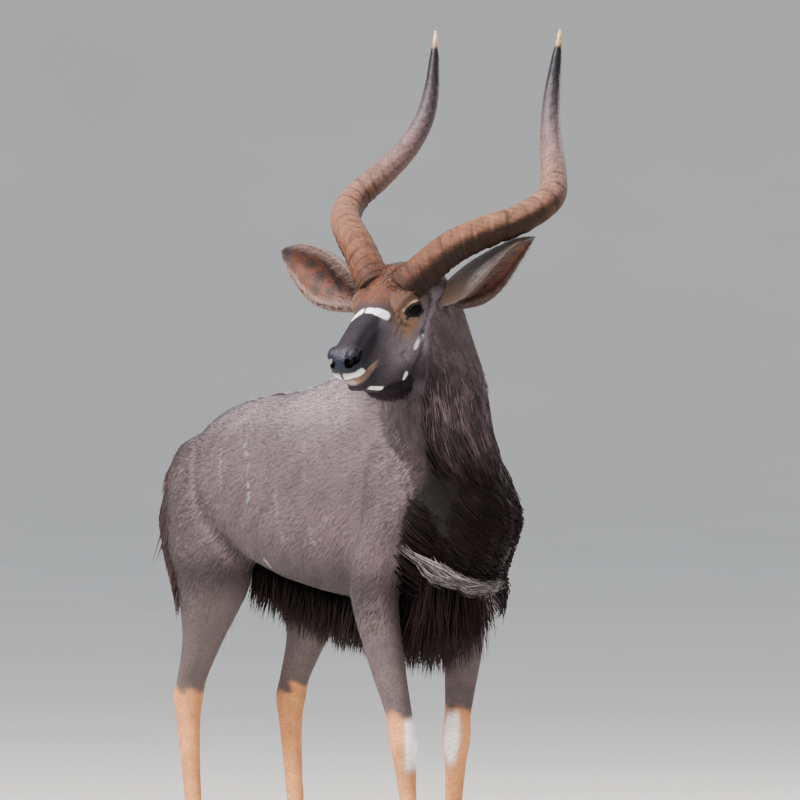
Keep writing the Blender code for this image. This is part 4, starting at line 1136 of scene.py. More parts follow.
def hoof_material():
    grain = (90.0, 5.0, 0.6, (1.0, 1.0, 6.0))
    return coat_material("hoof", grain, (0.6, 1.5), {"Roughness": 0.42}, (0.5, 0.0008))[0]


def eye_material():
    return coat_material("eye", (300.0, 3.0), (0.8, 1.2), {"Roughness": 0.06, "IOR": 1.13})[0]


def lid_material():
    return coat_material("lid", (350.0, 4.0), (0.6, 1.4), {"Roughness": 0.38}, (0.4, 0.0006))[0]


def ear_material():
    """Thin furred skin of the ear."""
    values = {"Roughness": 0.70, "Sheen Weight": 0.2}
    return coat_material("ear", (260.0, 5.0, 0.65), (0.65, 1.35), values, (0.5, 0.0008))[0]


def paint(mesh, colours, name="Coat"):
    """Writes a colour for each vertex."""
    if colours.ndim == 1:
        colours = np.repeat(colours[:, None], 3, axis=1)
    layer = mesh.color_attributes.new(name, "FLOAT_COLOR", "POINT")
    layer.data.foreach_set("color", np.hstack([colours, np.ones((len(colours), 1))]).astype(np.float32).ravel())


def finished(name, mesh, material, nodes=()):
    """Places a mesh made in the animal's frame, with its material, ride and slot."""
    mesh.transform(Matrix.Translation(SHIFT))
    mesh.materials.clear()
    mesh.materials.append(material)
    mesh.shade_smooth()
    mesh.name = name
    piece = in_scene(mesh, name)
    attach(piece, BODY)
    if nodes:
        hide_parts(*nodes)
    return piece


# Tufts and locks of hair

def hair_shape(rings):
    """A closed tapering shape of three sides: how far along, across and out each vertex is, and its faces."""
    bm = bmesh.new()
    first = bmesh.ops.create_circle(bm, cap_ends=True, segments=3, radius=rings[0][1])["verts"]
    edges = list({edge for vert in first for edge in vert.link_edges})
    for (before, spread), (share, next_spread) in zip(rings, rings[1:]):
        made = bmesh.ops.extrude_edge_only(bm, edges=edges)["geom"]
        verts = [part for part in made if isinstance(part, bmesh.types.BMVert)]
        edges = [part for part in made if isinstance(part, bmesh.types.BMEdge)]
        bmesh.ops.scale(bm, vec=(next_spread / spread, next_spread / spread, 1), verts=verts)
        bmesh.ops.translate(bm, vec=(0, 0, share - before), verts=verts)
    if rings[-1][1] < 0.02:
        bmesh.ops.pointmerge(bm, verts=verts, merge_co=(0, 0, rings[-1][0]))
    bmesh.ops.triangulate(bm, faces=bm.faces)
    bmesh.ops.recalc_face_normals(bm, faces=bm.faces)
    bm.verts.index_update()
    verts = np.array([vert.co for vert in bm.verts])
    faces = np.array([[vert.index for vert in face.verts] for face in bm.faces])
    bm.free()
    return verts, faces


# Shapes of a hair as shares of its length and width, how deep its root sinks into the skin, how
# much of the unwrap it takes, how far short hairs spread, and the way down. Then the shade of the
# hair at both of its ends
SPIKE = [(0.0, 1.0), (1.0, 0.001)]
TUFT = [(0.0, 0.8), (0.45, 1.0), (1.0, 0.001)]
LOCK = [(0.0, 0.7), (0.30, 1.0), (0.66, 0.68), (1.0, 0.001)]
SINK = 0.0010
PATCH = 0.0030
COAT_SPREAD = 0.16
DOWN = np.array([0.0, 0.0, -1.0])
ROOT_SHADE = 0.62
TIP_SHADE = 1.12


def hair_mesh(name, hairs, shape):
    """One mesh of many hairs, each a bent copy of the shape.

    hairs holds the roots, normals, start and finish directions, length, width, flatness, colours of
    root and tip, and the roots' places on the unwrap.
    """
    verts, faces = hair_shape(shape)
    along, across, out = verts[:, 2], verts[:, 0], verts[:, 1]
    start, finish = hairs["start"], hairs["finish"]
    length, width = hairs["length"][:, None, None], hairs["width"][:, None, None]
    t = along[None, :, None]
    way = unit(start[:, None] * (1 - t) + finish[:, None] * t)
    middle = (hairs["root"] - hairs["normal"] * SINK)[:, None] + length * (
        start[:, None] * t + (finish - start)[:, None] * t ** 2 / 2
    )
    side = unit(np.cross(way, hairs["normal"][:, None] + 0.01))
    up = np.cross(side, way)
    flat = hairs["flatness"]
    places = middle + side * across[None, :, None] * width + up * out[None, :, None] * width * flat
    count, size = len(start), len(verts)
    mesh = bpy.data.meshes.new(name)
    mesh.vertices.add(count * size)
    mesh.vertices.foreach_set("co", places.astype(np.float32).ravel())
    corners = (faces[None] + (np.arange(count) * size)[:, None, None]).reshape(-1)
    mesh.loops.add(len(corners))
    mesh.loops.foreach_set("vertex_index", corners.astype(np.int32))
    mesh.polygons.add(len(corners) // 3)
    mesh.polygons.foreach_set("loop_start", np.arange(0, len(corners), 3, dtype=np.int32))
    mesh.update(calc_edges=True)
    shade = ROOT_SHADE + (TIP_SHADE - ROOT_SHADE) * t
    colours = (hairs["colour"][:, None] * (1 - t ** 2) + hairs["tip"][:, None] * t ** 2) * shade
    paint(mesh, np.clip(colours.reshape(-1, 3), 0, 1))
    spread = np.stack([across * 0.5, along - 0.5], axis=1) * PATCH
    flat_places = (hairs["flat"][:, None] + spread[None]).reshape(-1, 2)
    layer = mesh.uv_layers.new(name="OFBake")
    layer.data.foreach_set("uv", flat_places[corners].astype(np.float32).ravel())
    return mesh


def scattered(points, triangles, density, count, draw):
    """Random places on the triangles: which triangle, and the share of each corner."""
    corners = points[triangles]
    area = np.linalg.norm(np.cross(corners[:, 1] - corners[:, 0], corners[:, 2] - corners[:, 0]), axis=1)
    chance = area * density[triangles].mean(axis=1)
    steps = np.cumsum(chance)
    picks = (np.arange(count) + draw.random(count)) / count * steps[-1]
    face = np.searchsorted(steps, picks).clip(0, len(triangles) - 1)
    a, b = draw.random(count), draw.random(count)
    flip = a + b > 1
    a[flip], b[flip] = 1 - a[flip], 1 - b[flip]
    return face, np.stack([1 - a - b, a, b], axis=1)


def blended(values, triangles, picked):
    face, share = picked
    return np.einsum("nk,nkd->nd", share, values[triangles[face]])


@functools.lru_cache(maxsize=1)
def skin_surface():
    """The finished skin's points, normals and triangles in the animal's own frame."""
    skin = bpy.data.objects.get("skin")
    if skin is None:
        raise RuntimeError("The skin has to be made before its coat")
    mesh = skin.data
    return places_of(mesh) - np.array(SHIFT), normals_of(mesh), triangles_of(mesh)


def rooted(density, count, seed):
    """Roots scattered over the skin where the density is above 0, their normals, and the draw."""
    draw = np.random.default_rng(seed)
    points, normals, triangles = skin_surface()
    picked = scattered(points, triangles, density(points, normals), count, draw)
    return blended(points, triangles, picked), unit(blended(normals, triangles, picked)), draw


def wandering(roots, scale, first_seed):
    """A way that changes smoothly from root to root."""
    return np.stack([ripple(roots, scale, first_seed + number) for number in range(3)], axis=1)


def clumped(roots, cell):
    """The number of the clump that each root belongs to."""
    places = np.floor(roots / cell + 0.35 * wandering(roots, cell * 3, 31)).astype(int)
    _, clump = np.unique(places, axis=0, return_inverse=True)
    return clump.ravel()


def gathered(roots, finish, length, clump, pull):
    """Finish directions drawn together, so that the hairs of a clump meet."""
    size = np.bincount(clump)[:, None]
    middle = np.stack([np.bincount(clump, roots[:, axis]) for axis in range(3)], axis=1) / size
    return unit(finish + (middle[clump] - roots) / length[:, None] * pull)


@functools.lru_cache(maxsize=1)
def skin_tree():
    points, _, triangles = skin_surface()
    return BVHTree.FromPolygons(points.tolist(), triangles.tolist())


def laid(roots, start, finish, length, lowest, highest):
    """Finish directions that bring every tip to between the lowest and highest height over the skin."""
    tips = roots + (start + finish) / 2 * length[:, None]
    tree = skin_tree()
    found = [tree.find_nearest(tip)[:2] for tip in tips.tolist()]
    nearest = np.array([place[:] for place, _ in found])
    out = np.array([normal[:] for _, normal in found])
    height = np.sum((tips - nearest) * out, axis=1)
    change = np.clip(height, lowest, highest) - height
    return finish + out * (change * 2 / length)[:, None]


def coat_hairs(roots, normals, draw, length, width, lift, cell, contrast):
    """Short hair that lies along the coat, lifted a little off the skin."""
    count = len(roots)
    lie = lie_of_coat(roots, normals)
    wander = wandering(roots, 0.06, 41) * COAT_SPREAD
    lie = unit(lie + wander + draw.normal(size=(count, 3)) * COAT_SPREAD * 0.7)
    lie = unit(lie - normals * np.sum(lie * normals, axis=1, keepdims=True))
    start = unit(lie + normals * lift)
    finish = unit(lie + normals * lift * -0.2)
    length = length * draw.uniform(0.75, 1.25, count)
    clump = clumped(roots, cell)
    finish = gathered(roots, finish, length, clump, 0.5)
    finish = laid(roots, start, finish, length, 0.07 * length, 0.15 * length)
    tone = draw.uniform(1 - contrast, 1 + contrast, clump.max() + 1)[clump]
    tips = roots + lie * length[:, None]
    root_colours = coat_colours(roots) * (tone * draw.uniform(0.80, 1.20, count))[:, None]
    tip_colours = coat_colours(tips) * (tone * draw.uniform(0.80, 1.20, count))[:, None]
    return {
        "root": roots, "normal": normals, "start": start, "finish": finish, "length": length,
        "width": width * draw.uniform(0.8, 1.2, count), "flatness": 0.55,
        "colour": root_colours, "tip": tip_colours, "flat": unwrapped(roots),
    }


def short_length(points, scale):
    """How long the short coat is at each point."""
    weight = regions(points)
    head = in_head(points)
    length = np.full(len(points), 0.022)
    length += 0.006 * ramp(0.55, 0.80, points[:, 1])
    face = 0.0055 + 0.0070 * ramp(0.15, -0.02, head[:, 0]) + 0.006 * ramp(-0.05, -0.12, head[:, 0])
    legs = 0.007 + 0.011 * ramp(0.36, 0.60, points[:, 2])
    for part, own in (("neck", 0.032), ("leg", legs), ("head", face)):
        length = length * (1 - weight[part]) + own * weight[part]
    return length * scale


def bare(points):
    """0 where the skin has no hair: nose, eye openings, lips and under the hooves."""
    free = (1 - nose_pad(points)) * (1 - nostril_hollow_shade(points))
    free *= from_eyes(points) > EYE_RADIUS + HAIRLESS_EDGE
    free *= line_distance(on_left(in_head(points)), smooth_rows(MOUTH_LINE, MOUTH_STEPS)) > HAIRLESS_LIP
    return free * (points[:, 2] > 0.05)


def make_short_coat(name, density, count, seed, scale, width=0.0013, lift=0.16, cell=0.013, contrast=0.34):
    """The short hair of one part of the body, shorter round the eyes."""
    roots, normals, draw = rooted(density, count, seed)
    length = short_length(roots, scale)
    from_eye = np.linalg.norm(on_left(in_head(roots)) - EYE_PLACE, axis=1)
    length = length * (0.45 + 0.55 * ramp(0.022, 0.050, from_eye))
    slim = width * np.clip(length / 0.02, 0.45, 1.3)
    hairs = coat_hairs(roots, normals, draw, length, slim, lift, cell, contrast)
    return finished(name, hair_mesh(name, hairs, SPIKE), fur_material(name))


def make_locks(name, rooting, ways, length, width, colours, tip, cell=0.022, pull=0.55, heights=None):
    """Long hair that starts and finishes in the given two ways, drawn into locks."""
    roots, normals, draw = rooting
    start, finish = ways
    count = len(roots)
    wander = wandering(roots, 0.05, 51)
    start = unit(start + 0.10 * wander + draw.normal(size=(count, 3)) * 0.07)
    finish = unit(finish + 0.16 * wander + draw.normal(size=(count, 3)) * 0.09)
    length = length * draw.uniform(0.72, 1.18, count)
    clump = clumped(roots, cell)
    finish = gathered(roots, finish, length, clump, pull)
    if heights is not None:
        finish = laid(roots, start, finish, length, *heights)
    tone = draw.uniform(0.68, 1.32, clump.max() + 1)[clump]
    change = (tone * draw.uniform(0.80, 1.20, count))[:, None]
    hairs = {
        "root": roots, "normal": normals, "start": start, "finish": finish, "length": length,
        "width": width * draw.uniform(0.7, 1.3, count), "flatness": 0.5,
        "colour": colours * change, "tip": tip * change, "flat": unwrapped(roots),
    }
    return finished(name, hair_mesh(name, hairs, LOCK), fur_material(name, 0.50, 0.0, 90.0, 0.10))


def make_throat_mane(reach, dark):
    """The dark mane of throat and breast, combed by the wind to the animal's left."""
    def density(points, normals):
        weight = regions(points)
        front = ramp(0.35, -0.30, normals[:, 1])
        thick = 1 + 1.6 * patch(points, (-0.070, -0.250, 0.800), (0.050, 0.060, 0.060), 0.6)
        return front * thick * mane_share(points) * (1 - weight["head"]) * (weight["leg"] < 0.5)

    count = 11800
    rooting = rooted(density, count, 201)
    roots, normals, draw = rooting
    height = roots[:, 2]
    low = ramp(1.02, 0.86, height)[:, None]
    start = unit(normals * 0.30 + WINDWARD * (0.15 + 0.60 * low) + DOWN * 0.75)
    finish = unit(WINDWARD * (0.16 + 0.66 * low) + DOWN * 0.98 * (1 - low) + DOWN * 0.46 * low)
    length = reach * (0.46 + 0.34 * low[:, 0]) * (1 - 0.62 * ramp(0.98, 1.10, height))
    flare = np.exp(-((height - 0.800) / 0.030) ** 2) * 0.7 + ramp(0.70, 0.66, height)
    heights = (0.004 + 0.008 * draw.random(count) * low[:, 0], 0.009 + 0.031 * flare * draw.random(count) ** 0.5)
    brown = ramp(0.90, 1.03, height + 0.02 * ramp(0.02, 0.12, roots @ WINDWARD)) * 0.9
    base = mix(many(dark, count), np.array(SHADES["neck"]) * 0.8, brown)
    base = base * np.exp(0.45 * ripple(roots, 0.030, 49))[:, None]
    tip = base * (1.05 + 1.2 * low * (1 - brown[:, None]) ** 4)
    return make_locks(
        "throat_mane", rooting, (start, finish), length, 0.0023, base, tip, cell=0.015, pull=0.45, heights=heights,
    )


def make_breast_crescent(reach):
    """The band of pale hair that crosses the breast."""
    def density(points, normals):
        leeward = points @ WINDWARD
        middle = np.interp(leeward, (-0.03, 0.03, 0.08, 0.13, 0.20), (0.722, 0.696, 0.668, 0.646, 0.622))
        half_width = 0.0028 + 0.075 * np.maximum(leeward, 0)
        band = np.exp(-((points[:, 2] - middle) / half_width) ** 2) * (normals[:, 1] < 0.2) * (points[:, 1] < -0.12)
        return band * (band > 0.05) * (leeward > -0.035)

    count = 1700
    rooting = rooted(density, count, 202)
    _, normals, draw = rooting
    start = unit(normals * 1.00 + WINDWARD * 0.70 + DOWN * 0.42)
    finish = unit(WINDWARD * 0.90 + DOWN * 0.42 + normals * 0.1)
    length = reach * draw.uniform(0.40, 0.95, count)
    shade = draw.uniform(0.10, 1.0, size=(count, 1)) ** 1.6
    tip = many(SHADES["pale"], count) * shade
    return make_locks(
        "breast_crescent", rooting, (start, finish), length, 0.0011, tip * 0.45, tip,
        cell=0.012, pull=0.2, heights=(0.034, 0.050),
    )


def make_belly_fringe(reach, dark):
    """The fringe that hangs under the brisket and belly."""
    def density(points, normals):
        under = ramp(-0.35, -0.75, normals[:, 2]) * (1 - ramp(0.040, 0.070, np.abs(points[:, 0])))
        along = ramp(-0.22, -0.16, points[:, 1]) * ramp(0.66, 0.58, points[:, 1])
        return under * along * (points[:, 2] > 0.58)

    count = 5200
    rooting = rooted(density, count, 203)
    roots = rooting[0]
    start = unit(np.hstack([np.sign(roots[:, :1]) * 0.10, np.full((count, 1), 0.12), np.full((count, 1), -1.0)]))
    finish = unit(many((0.05, 0.30, -1.0), count))
    length = reach * (0.90 + 0.45 * ramp(0.10, -0.15, roots[:, 1]))
    base = many(dark, count) * 1.4
    return make_locks("belly_fringe", rooting, (start, finish), length, 0.0023, base, base * 1.8)


def make_crest(reach, white):
    """The pale crest of the back, from the withers to the rump."""
    def density(points, normals):
        back = (np.abs(points[:, 0]) < 0.011) * (points[:, 1] > -0.06) * ramp(0.3, 0.5, normals[:, 2])
        return back * (points[:, 1] < 0.87)

    count = 3200
    rooting = rooted(density, count, 204)
    roots = rooting[0]
    rump = ramp(0.74, 0.79, roots[:, 1]) * ramp(0.86, 0.82, roots[:, 1])
    inner = ramp(0.013, 0.003, np.abs(roots[:, 0]))
    start = unit(np.stack([roots[:, 0] * 8, np.ones(count), np.full(count, 0.16)], axis=1))
    finish = unit(np.stack([roots[:, 0] * 4, np.ones(count), np.full(count, -0.10)], axis=1))
    length = reach * (0.60 + 0.40 * rump)
    base = mix(many(SHADES["body"], count), SHADES["pale"], 0.30 * inner + rump * 0.5)
    pale = (0.35 + 0.40 * ramp(-0.2, 0.6, ripple(roots, 0.05, 47))) * inner + 0.2 * rump
    tip = mix(base * 1.4, white, np.clip(pale, 0, 0.9))
    return make_locks("back_crest", rooting, (start, finish), length, 0.0013, base, tip, cell=0.012)


def make_nape(reach, dark):
    """The dark hair down the back of the neck to the withers."""
    def density(points, normals):
        rows = smooth_rows(NECK, 24)
        turn = HEAD_TURN * rows[:, 5]
        line = rows[:, :3] + np.stack([np.sin(turn), np.cos(turn), 0 * turn], axis=1) * rows[:, 4:5]
        band = 1 - ramp(0.016, 0.030, line_distance(points, line))
        return band * (points[:, 2] > 0.99) * (normals[:, 1] > 0)

    count = 2400
    rooting = rooted(density, count, 205)
    ways = [unit(rooting[1] * out + np.array([0.0, 0.2, fall])) for out, fall in ((0.6, -0.7), (0.1, -1.0))]
    base = many(dark, count) * 1.6
    return make_locks("nape_mane", rooting, ways, reach * 0.95, 0.0017, base, base * 1.6, cell=0.018)


def make_thigh_fringe(reach):
    """The long hair down the back of the haunches."""
    def density(points, normals):
        behind = ramp(0.1, 0.6, normals[:, 1]) * (points[:, 1] > 0.60)
        high = ramp(0.57, 0.64, points[:, 2]) * ramp(0.90, 0.84, points[:, 2])
        return behind * high * (np.abs(points[:, 0]) > 0.02)

    count = 3600
    rooting = rooted(density, count, 206)
    roots, normals, _ = rooting
    ways = (unit(normals * 0.35 + DOWN * 0.9), unit(many((0.0, 0.18, -1.0), count)))
    base = coat_colours(roots) * 0.80
    return make_locks(
        "thigh_fringe", rooting, ways, reach * 0.48, 0.0017, base, base * 1.3,
        cell=0.018, pull=0.5, heights=(0.004, 0.012),
    )


def make_tail_hair(reach):
    """The bushy tail: dark above and white below."""
    def density(points, _):
        return regions(points)["tail"] * (points[:, 2] < 0.90)

    count = 4000
    rooting = rooted(density, count, 207)
    outward = rooting[1].copy()
    under = ramp(0.1, -0.6, outward[:, 1])
    outward[:, 1] = np.maximum(outward[:, 1], -0.30)
    ways = (unit(outward * 0.40 + DOWN), unit(outward * 0.05 + DOWN))
    base = mix(many(SHADES["belly"], count) * 1.4, SHADES["white"], under * 0.95)
    return make_locks("tail_hair", rooting, ways, reach, 0.0021, base, base * 1.1, cell=0.024)


def make_jaw_fringe():
    """Longer hair along the chin and throat."""
    nose, _, up = (np.array(axis) for axis in head_axes())

    def density(points, normals):
        head = in_head(points)
        low = ramp(-0.100, -0.128, head[:, 2]) * ramp(-0.11, -0.06, head[:, 0]) * (head[:, 0] < 0.135)
        return low * ramp(-0.15, -0.55, normals @ up) * regions(points)["head"]

    count = 3000
    rooting = rooted(density, count, 208)
    start = unit(rooting[1] * 0.30 - nose * 0.7 - up * 0.35)
    finish = unit(many(-nose * 0.45 - up * 0.55, count) + DOWN * 0.3)
    base = many(SHADES["jaw"], count) * 1.4
    return make_locks("jaw_fringe", rooting, (start, finish), 0.036, 0.0009, base, base * 1.3, cell=0.010)


def make_horn_ruff():
    """Stiff hair of the forehead that closes round the root of each horn."""
    def density(points, _):
        side = on_left(in_head(points))
        return (1 - ramp(0.040, 0.050, line_distance(side, HORN_LINE[:3]))) * (side[:, 2] > 0.02)

    count = 1100
    rooting = rooted(density, count, 210)
    roots, normals, draw = rooting
    nose, left, up = (np.array(axis) for axis in head_axes())
    along = unit(-0.66 * nose + 0.62 * left * np.sign(in_head(roots)[:, 1:2]) + 0.42 * up)
    ways = (unit(along + normals * 0.5), along)
    base = mix(many(SHADES["horn_root"], count), SHADES["forehead"], draw.random(count) * 0.8)
    return make_locks("horn_ruff", rooting, ways, 0.008, 0.0009, base, base * 1.2, cell=0.008, pull=0.4)


def make_white_marks():
    """The thin white stripe of each flank and the small spots of the haunch."""
    def density(points, _):
        stripe = on_flank(points, MAIN_STRIPE) < STRIPE_HALF_WIDTH + 0.0008 * ripple(points, 0.03, 48)
        stripe = stripe * (0.45 + ramp(-0.75, 0.1, ripple(points, 0.035, 17)))
        for spot in HAUNCH_SPOTS:
            stripe = np.maximum(stripe, on_flank(points, [spot, spot]) < SPOT_RADIUS)
        return stripe * (np.abs(points[:, 0]) > 0.06) * (regions(points)["leg"] < 0.9)

    count = 1500
    rooting = rooted(density, count, 209)
    _, normals, draw = rooting
    ways = [unit(normals * out + np.array([0.0, 0.25, -1.0])) for out in (0.42, 0.02)]
    white = many(SHADES["pale"], count) * draw.uniform(0.30, 1.05, size=(count, 1))
    return make_locks(
        "white_marks", rooting, ways, 0.009, 0.0006, white * 0.8, white,
        cell=0.006, pull=0.1, heights=(0.0042, 0.0052),
    )


# Horns, ears, eyes and hooves

# The horn's colours along it: a reddish base, purple-grey, near black high up, and an ivory tip
HORN_TINTS = [
    (0.0, (0.036, 0.013, 0.007)), (0.10, (0.100, 0.037, 0.019)), (0.30, (0.190, 0.082, 0.047)),
    (0.46, (0.188, 0.094, 0.065)), (0.60, (0.142, 0.083, 0.076)), (0.74, (0.062, 0.044, 0.050)),
    (0.86, (0.015, 0.012, 0.016)), (0.945, (0.008, 0.006, 0.009)), (0.962, (0.380, 0.235, 0.125)),
    (1.0, (0.680, 0.500, 0.330)),
]


def horn_colours(share, groove, grain):
    """The horn's colour at each share of its length, darker in its grooves and varied by the grain."""
    stops, tints = zip(*HORN_TINTS)
    colour = np.stack([np.interp(share, stops, channel) for channel in zip(*tints)], axis=1)
    dark = np.clip(1 - 0.55 * groove, 0.3, 1.0)
    return np.clip(colour * (dark * (1 + 0.26 * grain))[:, None], 0.002, 0.9)


def make_horn(side, side_name):
    """One horn: a keeled spiral with worn rings low down and a smooth polished tip."""
    rows = smooth_rows(HORN_LINE, HORN_RINGS)
    draw = np.random.default_rng(301 + side)
    shares = np.linspace(0, 1, HORN_RINGS)
    steps = np.cumsum(draw.uniform(0.75, 1.30, HORN_RINGS))
    rings_wave = 0.7 * np.sin(steps * 0.55) + 0.6 * np.sin(steps * 1.15 + 1.0) + 0.45 * draw.normal(size=HORN_RINGS)
    wrinkles = draw.random(HORN_RINGS)
    level = HEAD_MATRIX @ Vector((0.0, side, 0.0))
    rings, grooves = [], []
    for number, row in enumerate(rows):
        share = shares[number]
        radius = np.interp(share, HORN_SHARES, HORN_RADII)
        middle = head_place(*mirrored(row, side))
        ahead = rows[min(number + 1, HORN_RINGS - 1)] - rows[max(number - 1, 0)]
        along = (HEAD_MATRIX @ Vector(mirrored(ahead, side))).normalized()
        across = (level - along * level.dot(along)).normalized()
        other = along.cross(across)
        worn = float(1 - ramp(0.42, 0.80, np.array(share)))
        points = []
        for corner in range(HORN_SIDES):
            angle = 2 * math.pi * corner / HORN_SIDES
            turn = angle - HORN_TWIST * share * side
            keel = HORN_KEEL * math.cos(turn) * (1 - share) + 0.05 * (1 - share) * max(math.cos(turn), 0) ** 6
            tilt = 3.0 * math.cos(turn)
            wave = np.interp(number + tilt, np.arange(HORN_RINGS), rings_wave)
            wave *= 0.75 + 0.25 * math.sin(angle * 3 + number * 0.11)
            ridge = HORN_RIDGE * wave * worn * (0.60 + 0.40 * math.cos(turn))
            outward = across * math.cos(angle) + other * math.sin(angle)
            points.append(middle + outward * (radius * (1 + keel) + ridge))
            line = float(np.interp(number + 2 * tilt, np.arange(HORN_RINGS), wrinkles))
            grooves.append((0.7 * max(-wave, 0) + 0.45 * line) * worn)
        rings.append(points)
    mesh = loft(rings)
    count = len(mesh.vertices)
    share = np.repeat(shares, HORN_SIDES)[:count]
    colours = horn_colours(share, np.array(grooves), ripple(places_of(mesh), 0.012, 61))
    # Painted shade: the lower part of each horn is darkened on the side turned away from light from above
    shaded = normals_of(mesh) @ unit(np.array([-0.36, 0.18, 0.92]))
    under = ramp(0.32, -0.14, shaded) * (1 - ramp(0.34, 0.60, share))
    paint(mesh, mix(colours, SHADES["horn_painted_shade"], under * 0.92))
    paint(mesh, ramp(0.45, 0.85, share), "Polish")
    name = f"horn_{side_name}_ringed"
    return finished(name, mesh, horn_material(), [f"horn_{side_name}"])


def ear_frame(side_name):
    root, direction, opening = (Vector(value) for value in EARS[side_name])
    along = (HEAD_MATRIX @ direction).normalized()
    open_way = HEAD_MATRIX @ opening
    open_way = (open_way - along * open_way.dot(along)).normalized()
    return head_place(*root), along, open_way, along.cross(open_way)


def ear_colours(share, column, inner, points):
    """Rusty inside with dark patches, grey outside, pale edges and a dark tip."""
    noise = ripple(points, 0.030, 71)
    off_middle = np.abs(column)
    blotch = ramp(-0.4, 0.5, noise) * ramp(0.95, 0.5, off_middle) * ramp(0.95, 0.75, share)
    inside = layered(many(SHADES["ear_inside"], len(share)), [
        ("ear_blotch", blotch * 0.85), ("ear_cup", ramp(0.30, 0.0, share) * 0.8),
    ])
    outside = layered(many(SHADES["ear_outside"], len(share)), [("ear_root", ramp(0.50, 0.05, share) * 0.8)])
    colour = inside * inner[:, None] + outside * (1 - inner[:, None])
    tip = ramp(0.86, 0.95, share + 0.03 * noise)
    return layered(colour, [("ear_edge", ramp(0.88, 0.99, off_middle) * 0.6), ("ear_tip", tip * 0.9)])


def make_ear(side_name):
    """One ear: a thin furred leaf curled into a cup."""
    root, along, open_way, across = ear_frame(side_name)
    rings, facts = [], []
    for share, half_width, curl in smooth_rows(EAR_SHAPE, EAR_RINGS):
        radius = half_width / math.sin(min(curl, math.pi / 2))
        middle = root + along * EAR_LENGTH * share + open_way * radius * EAR_LEAN
        columns = np.linspace(-1, 1, EAR_COLUMNS)
        walls = [(radius, column, 0.0) for column in columns]
        walls += [(radius - EAR_THICKNESS * math.cos(column * 1.2), column * 0.985, 1.0) for column in columns[::-1]]
        rings.append([
            middle + across * reach * math.sin(column * curl) - open_way * reach * math.cos(column * curl)
            for reach, column, _ in walls
        ])
        facts += [(share, column, inner) for _, column, inner in walls]
    mesh = loft(rings)
    facts = np.array(facts)
    points = places_of(mesh)
    paint(mesh, ear_colours(facts[:, 0], facts[:, 1], facts[:, 2], points))
    make_ear_hair(side_name, mesh, facts)
    name = f"ear_{side_name}_furred"
    return finished(name, mesh, ear_material(), [f"ear_{side_name}"])


def make_ear_hair(side_name, mesh, facts):
    """Short hair over both faces of the ear, and long pale hair along its edges."""
    draw = np.random.default_rng(311 + len(side_name))
    points, normals, triangles = places_of(mesh), normals_of(mesh), triangles_of(mesh)
    _, along, _, across = (np.array(value) for value in ear_frame(side_name))
    density = 0.6 + 2.2 * ramp(0.75, 0.95, np.abs(facts[:, 1]))
    count = 9000
    picked = scattered(points, triangles, density, count, draw)
    roots, out = blended(points, triangles, picked), unit(blended(normals, triangles, picked))
    fact = blended(facts, triangles, picked)
    share, column, inner = fact.T
    edge = ramp(0.80, 0.96, np.abs(column))
    inward = -np.sign(column)[:, None] * across * inner[:, None] * edge[:, None]
    lie = unit(along + inward * 0.8 + draw.normal(size=(count, 3)) * 0.18)
    start = unit(lie + out * (0.22 + 0.25 * edge * inner)[:, None])
    finish = unit(lie + out * -0.02)
    tint = ear_colours(share, column, inner, roots) * draw.uniform(0.75, 1.25, size=(count, 1))
    tint = mix(tint, SHADES["ear_fringe"], edge * 0.30 * ramp(0.93, 0.85, share))
    length = (0.009 + 0.014 * edge * inner + 0.003 * inner) * draw.uniform(0.7, 1.3, count)
    length *= 1 - 0.5 * ramp(0.80, 1.0, share)
    flat = np.stack([0.05 + 0.40 * (column * 0.5 + 0.5) + 0.5 * inner, 0.05 + 0.9 * share], axis=1)
    hairs = {
        "root": roots, "normal": out, "start": start, "finish": finish, "length": length,
        "width": 0.00065 * draw.uniform(0.8, 1.3, count), "flatness": 0.6,
        "colour": tint, "tip": tint * 1.15, "flat": flat.clip(0.003, 0.997),
    }
    name = f"ear_{side_name}_hair"
    return finished(name, hair_mesh(name, hairs, SPIKE), fur_material(name))


def make_eye(side, side_name):
    """A dark eye with a level oval pupil."""
    look, along, rise = eye_axes(side)
    middle = eye_middle(side)
    turn = Matrix((along, rise, look)).transposed()
    mesh = ball(middle, (EYE_RADIUS, EYE_RADIUS, EYE_RADIUS), turn, 72)
    local = (places_of(mesh) - np.array(middle)) / EYE_RADIUS @ np.array(turn)
    iris = np.hypot(local[:, 0], local[:, 1])
    pupil = np.hypot(local[:, 0] / 0.42, local[:, 1] / 0.24)
    front = local[:, 2] > 0
    paint(mesh, layered(many(SHADES["eye"], len(local)), [
        ("iris", (1 - ramp(0.60, 0.72, iris)) * front), ("pupil", (1 - ramp(0.85, 1.1, pupil)) * front),
    ]))
    return finished(f"eye_{side_name}_glass", mesh, eye_material(), [f"eye_{side_name}"])


def make_lids(side, side_name):
    """The dark wet rims of the lids, round the eye's opening."""
    look, along, rise = eye_axes(side)
    bm = bmesh.new()
    loops = []
    for step in range(LID_SIDES):
        turn = 2 * math.pi * step / LID_SIDES
        grow = 1 + LID_BREADTH * math.cos(turn)
        reach = EYE_RADIUS + LID_HEIGHT + LID_THICKNESS * math.sin(turn)
        ring = []
        for a, b in almond(64):
            flat = along * a * grow + rise * b * grow
            depth = math.sqrt(max(reach ** 2 - flat.length_squared, 0.0))
            ring.append(eye_middle(side) + flat + look * depth)
        loops.append(add_loop(bm, ring))
    bridged(bm, zip(loops, loops[1:] + loops[:1]))
    bmesh.ops.recalc_face_normals(bm, faces=bm.faces)
    mesh = mesh_from(bm, "lid")
    paint(mesh, many(SHADES["lid"], len(mesh.vertices)))
    return finished(f"lid_rim_{side_name}", mesh, lid_material())


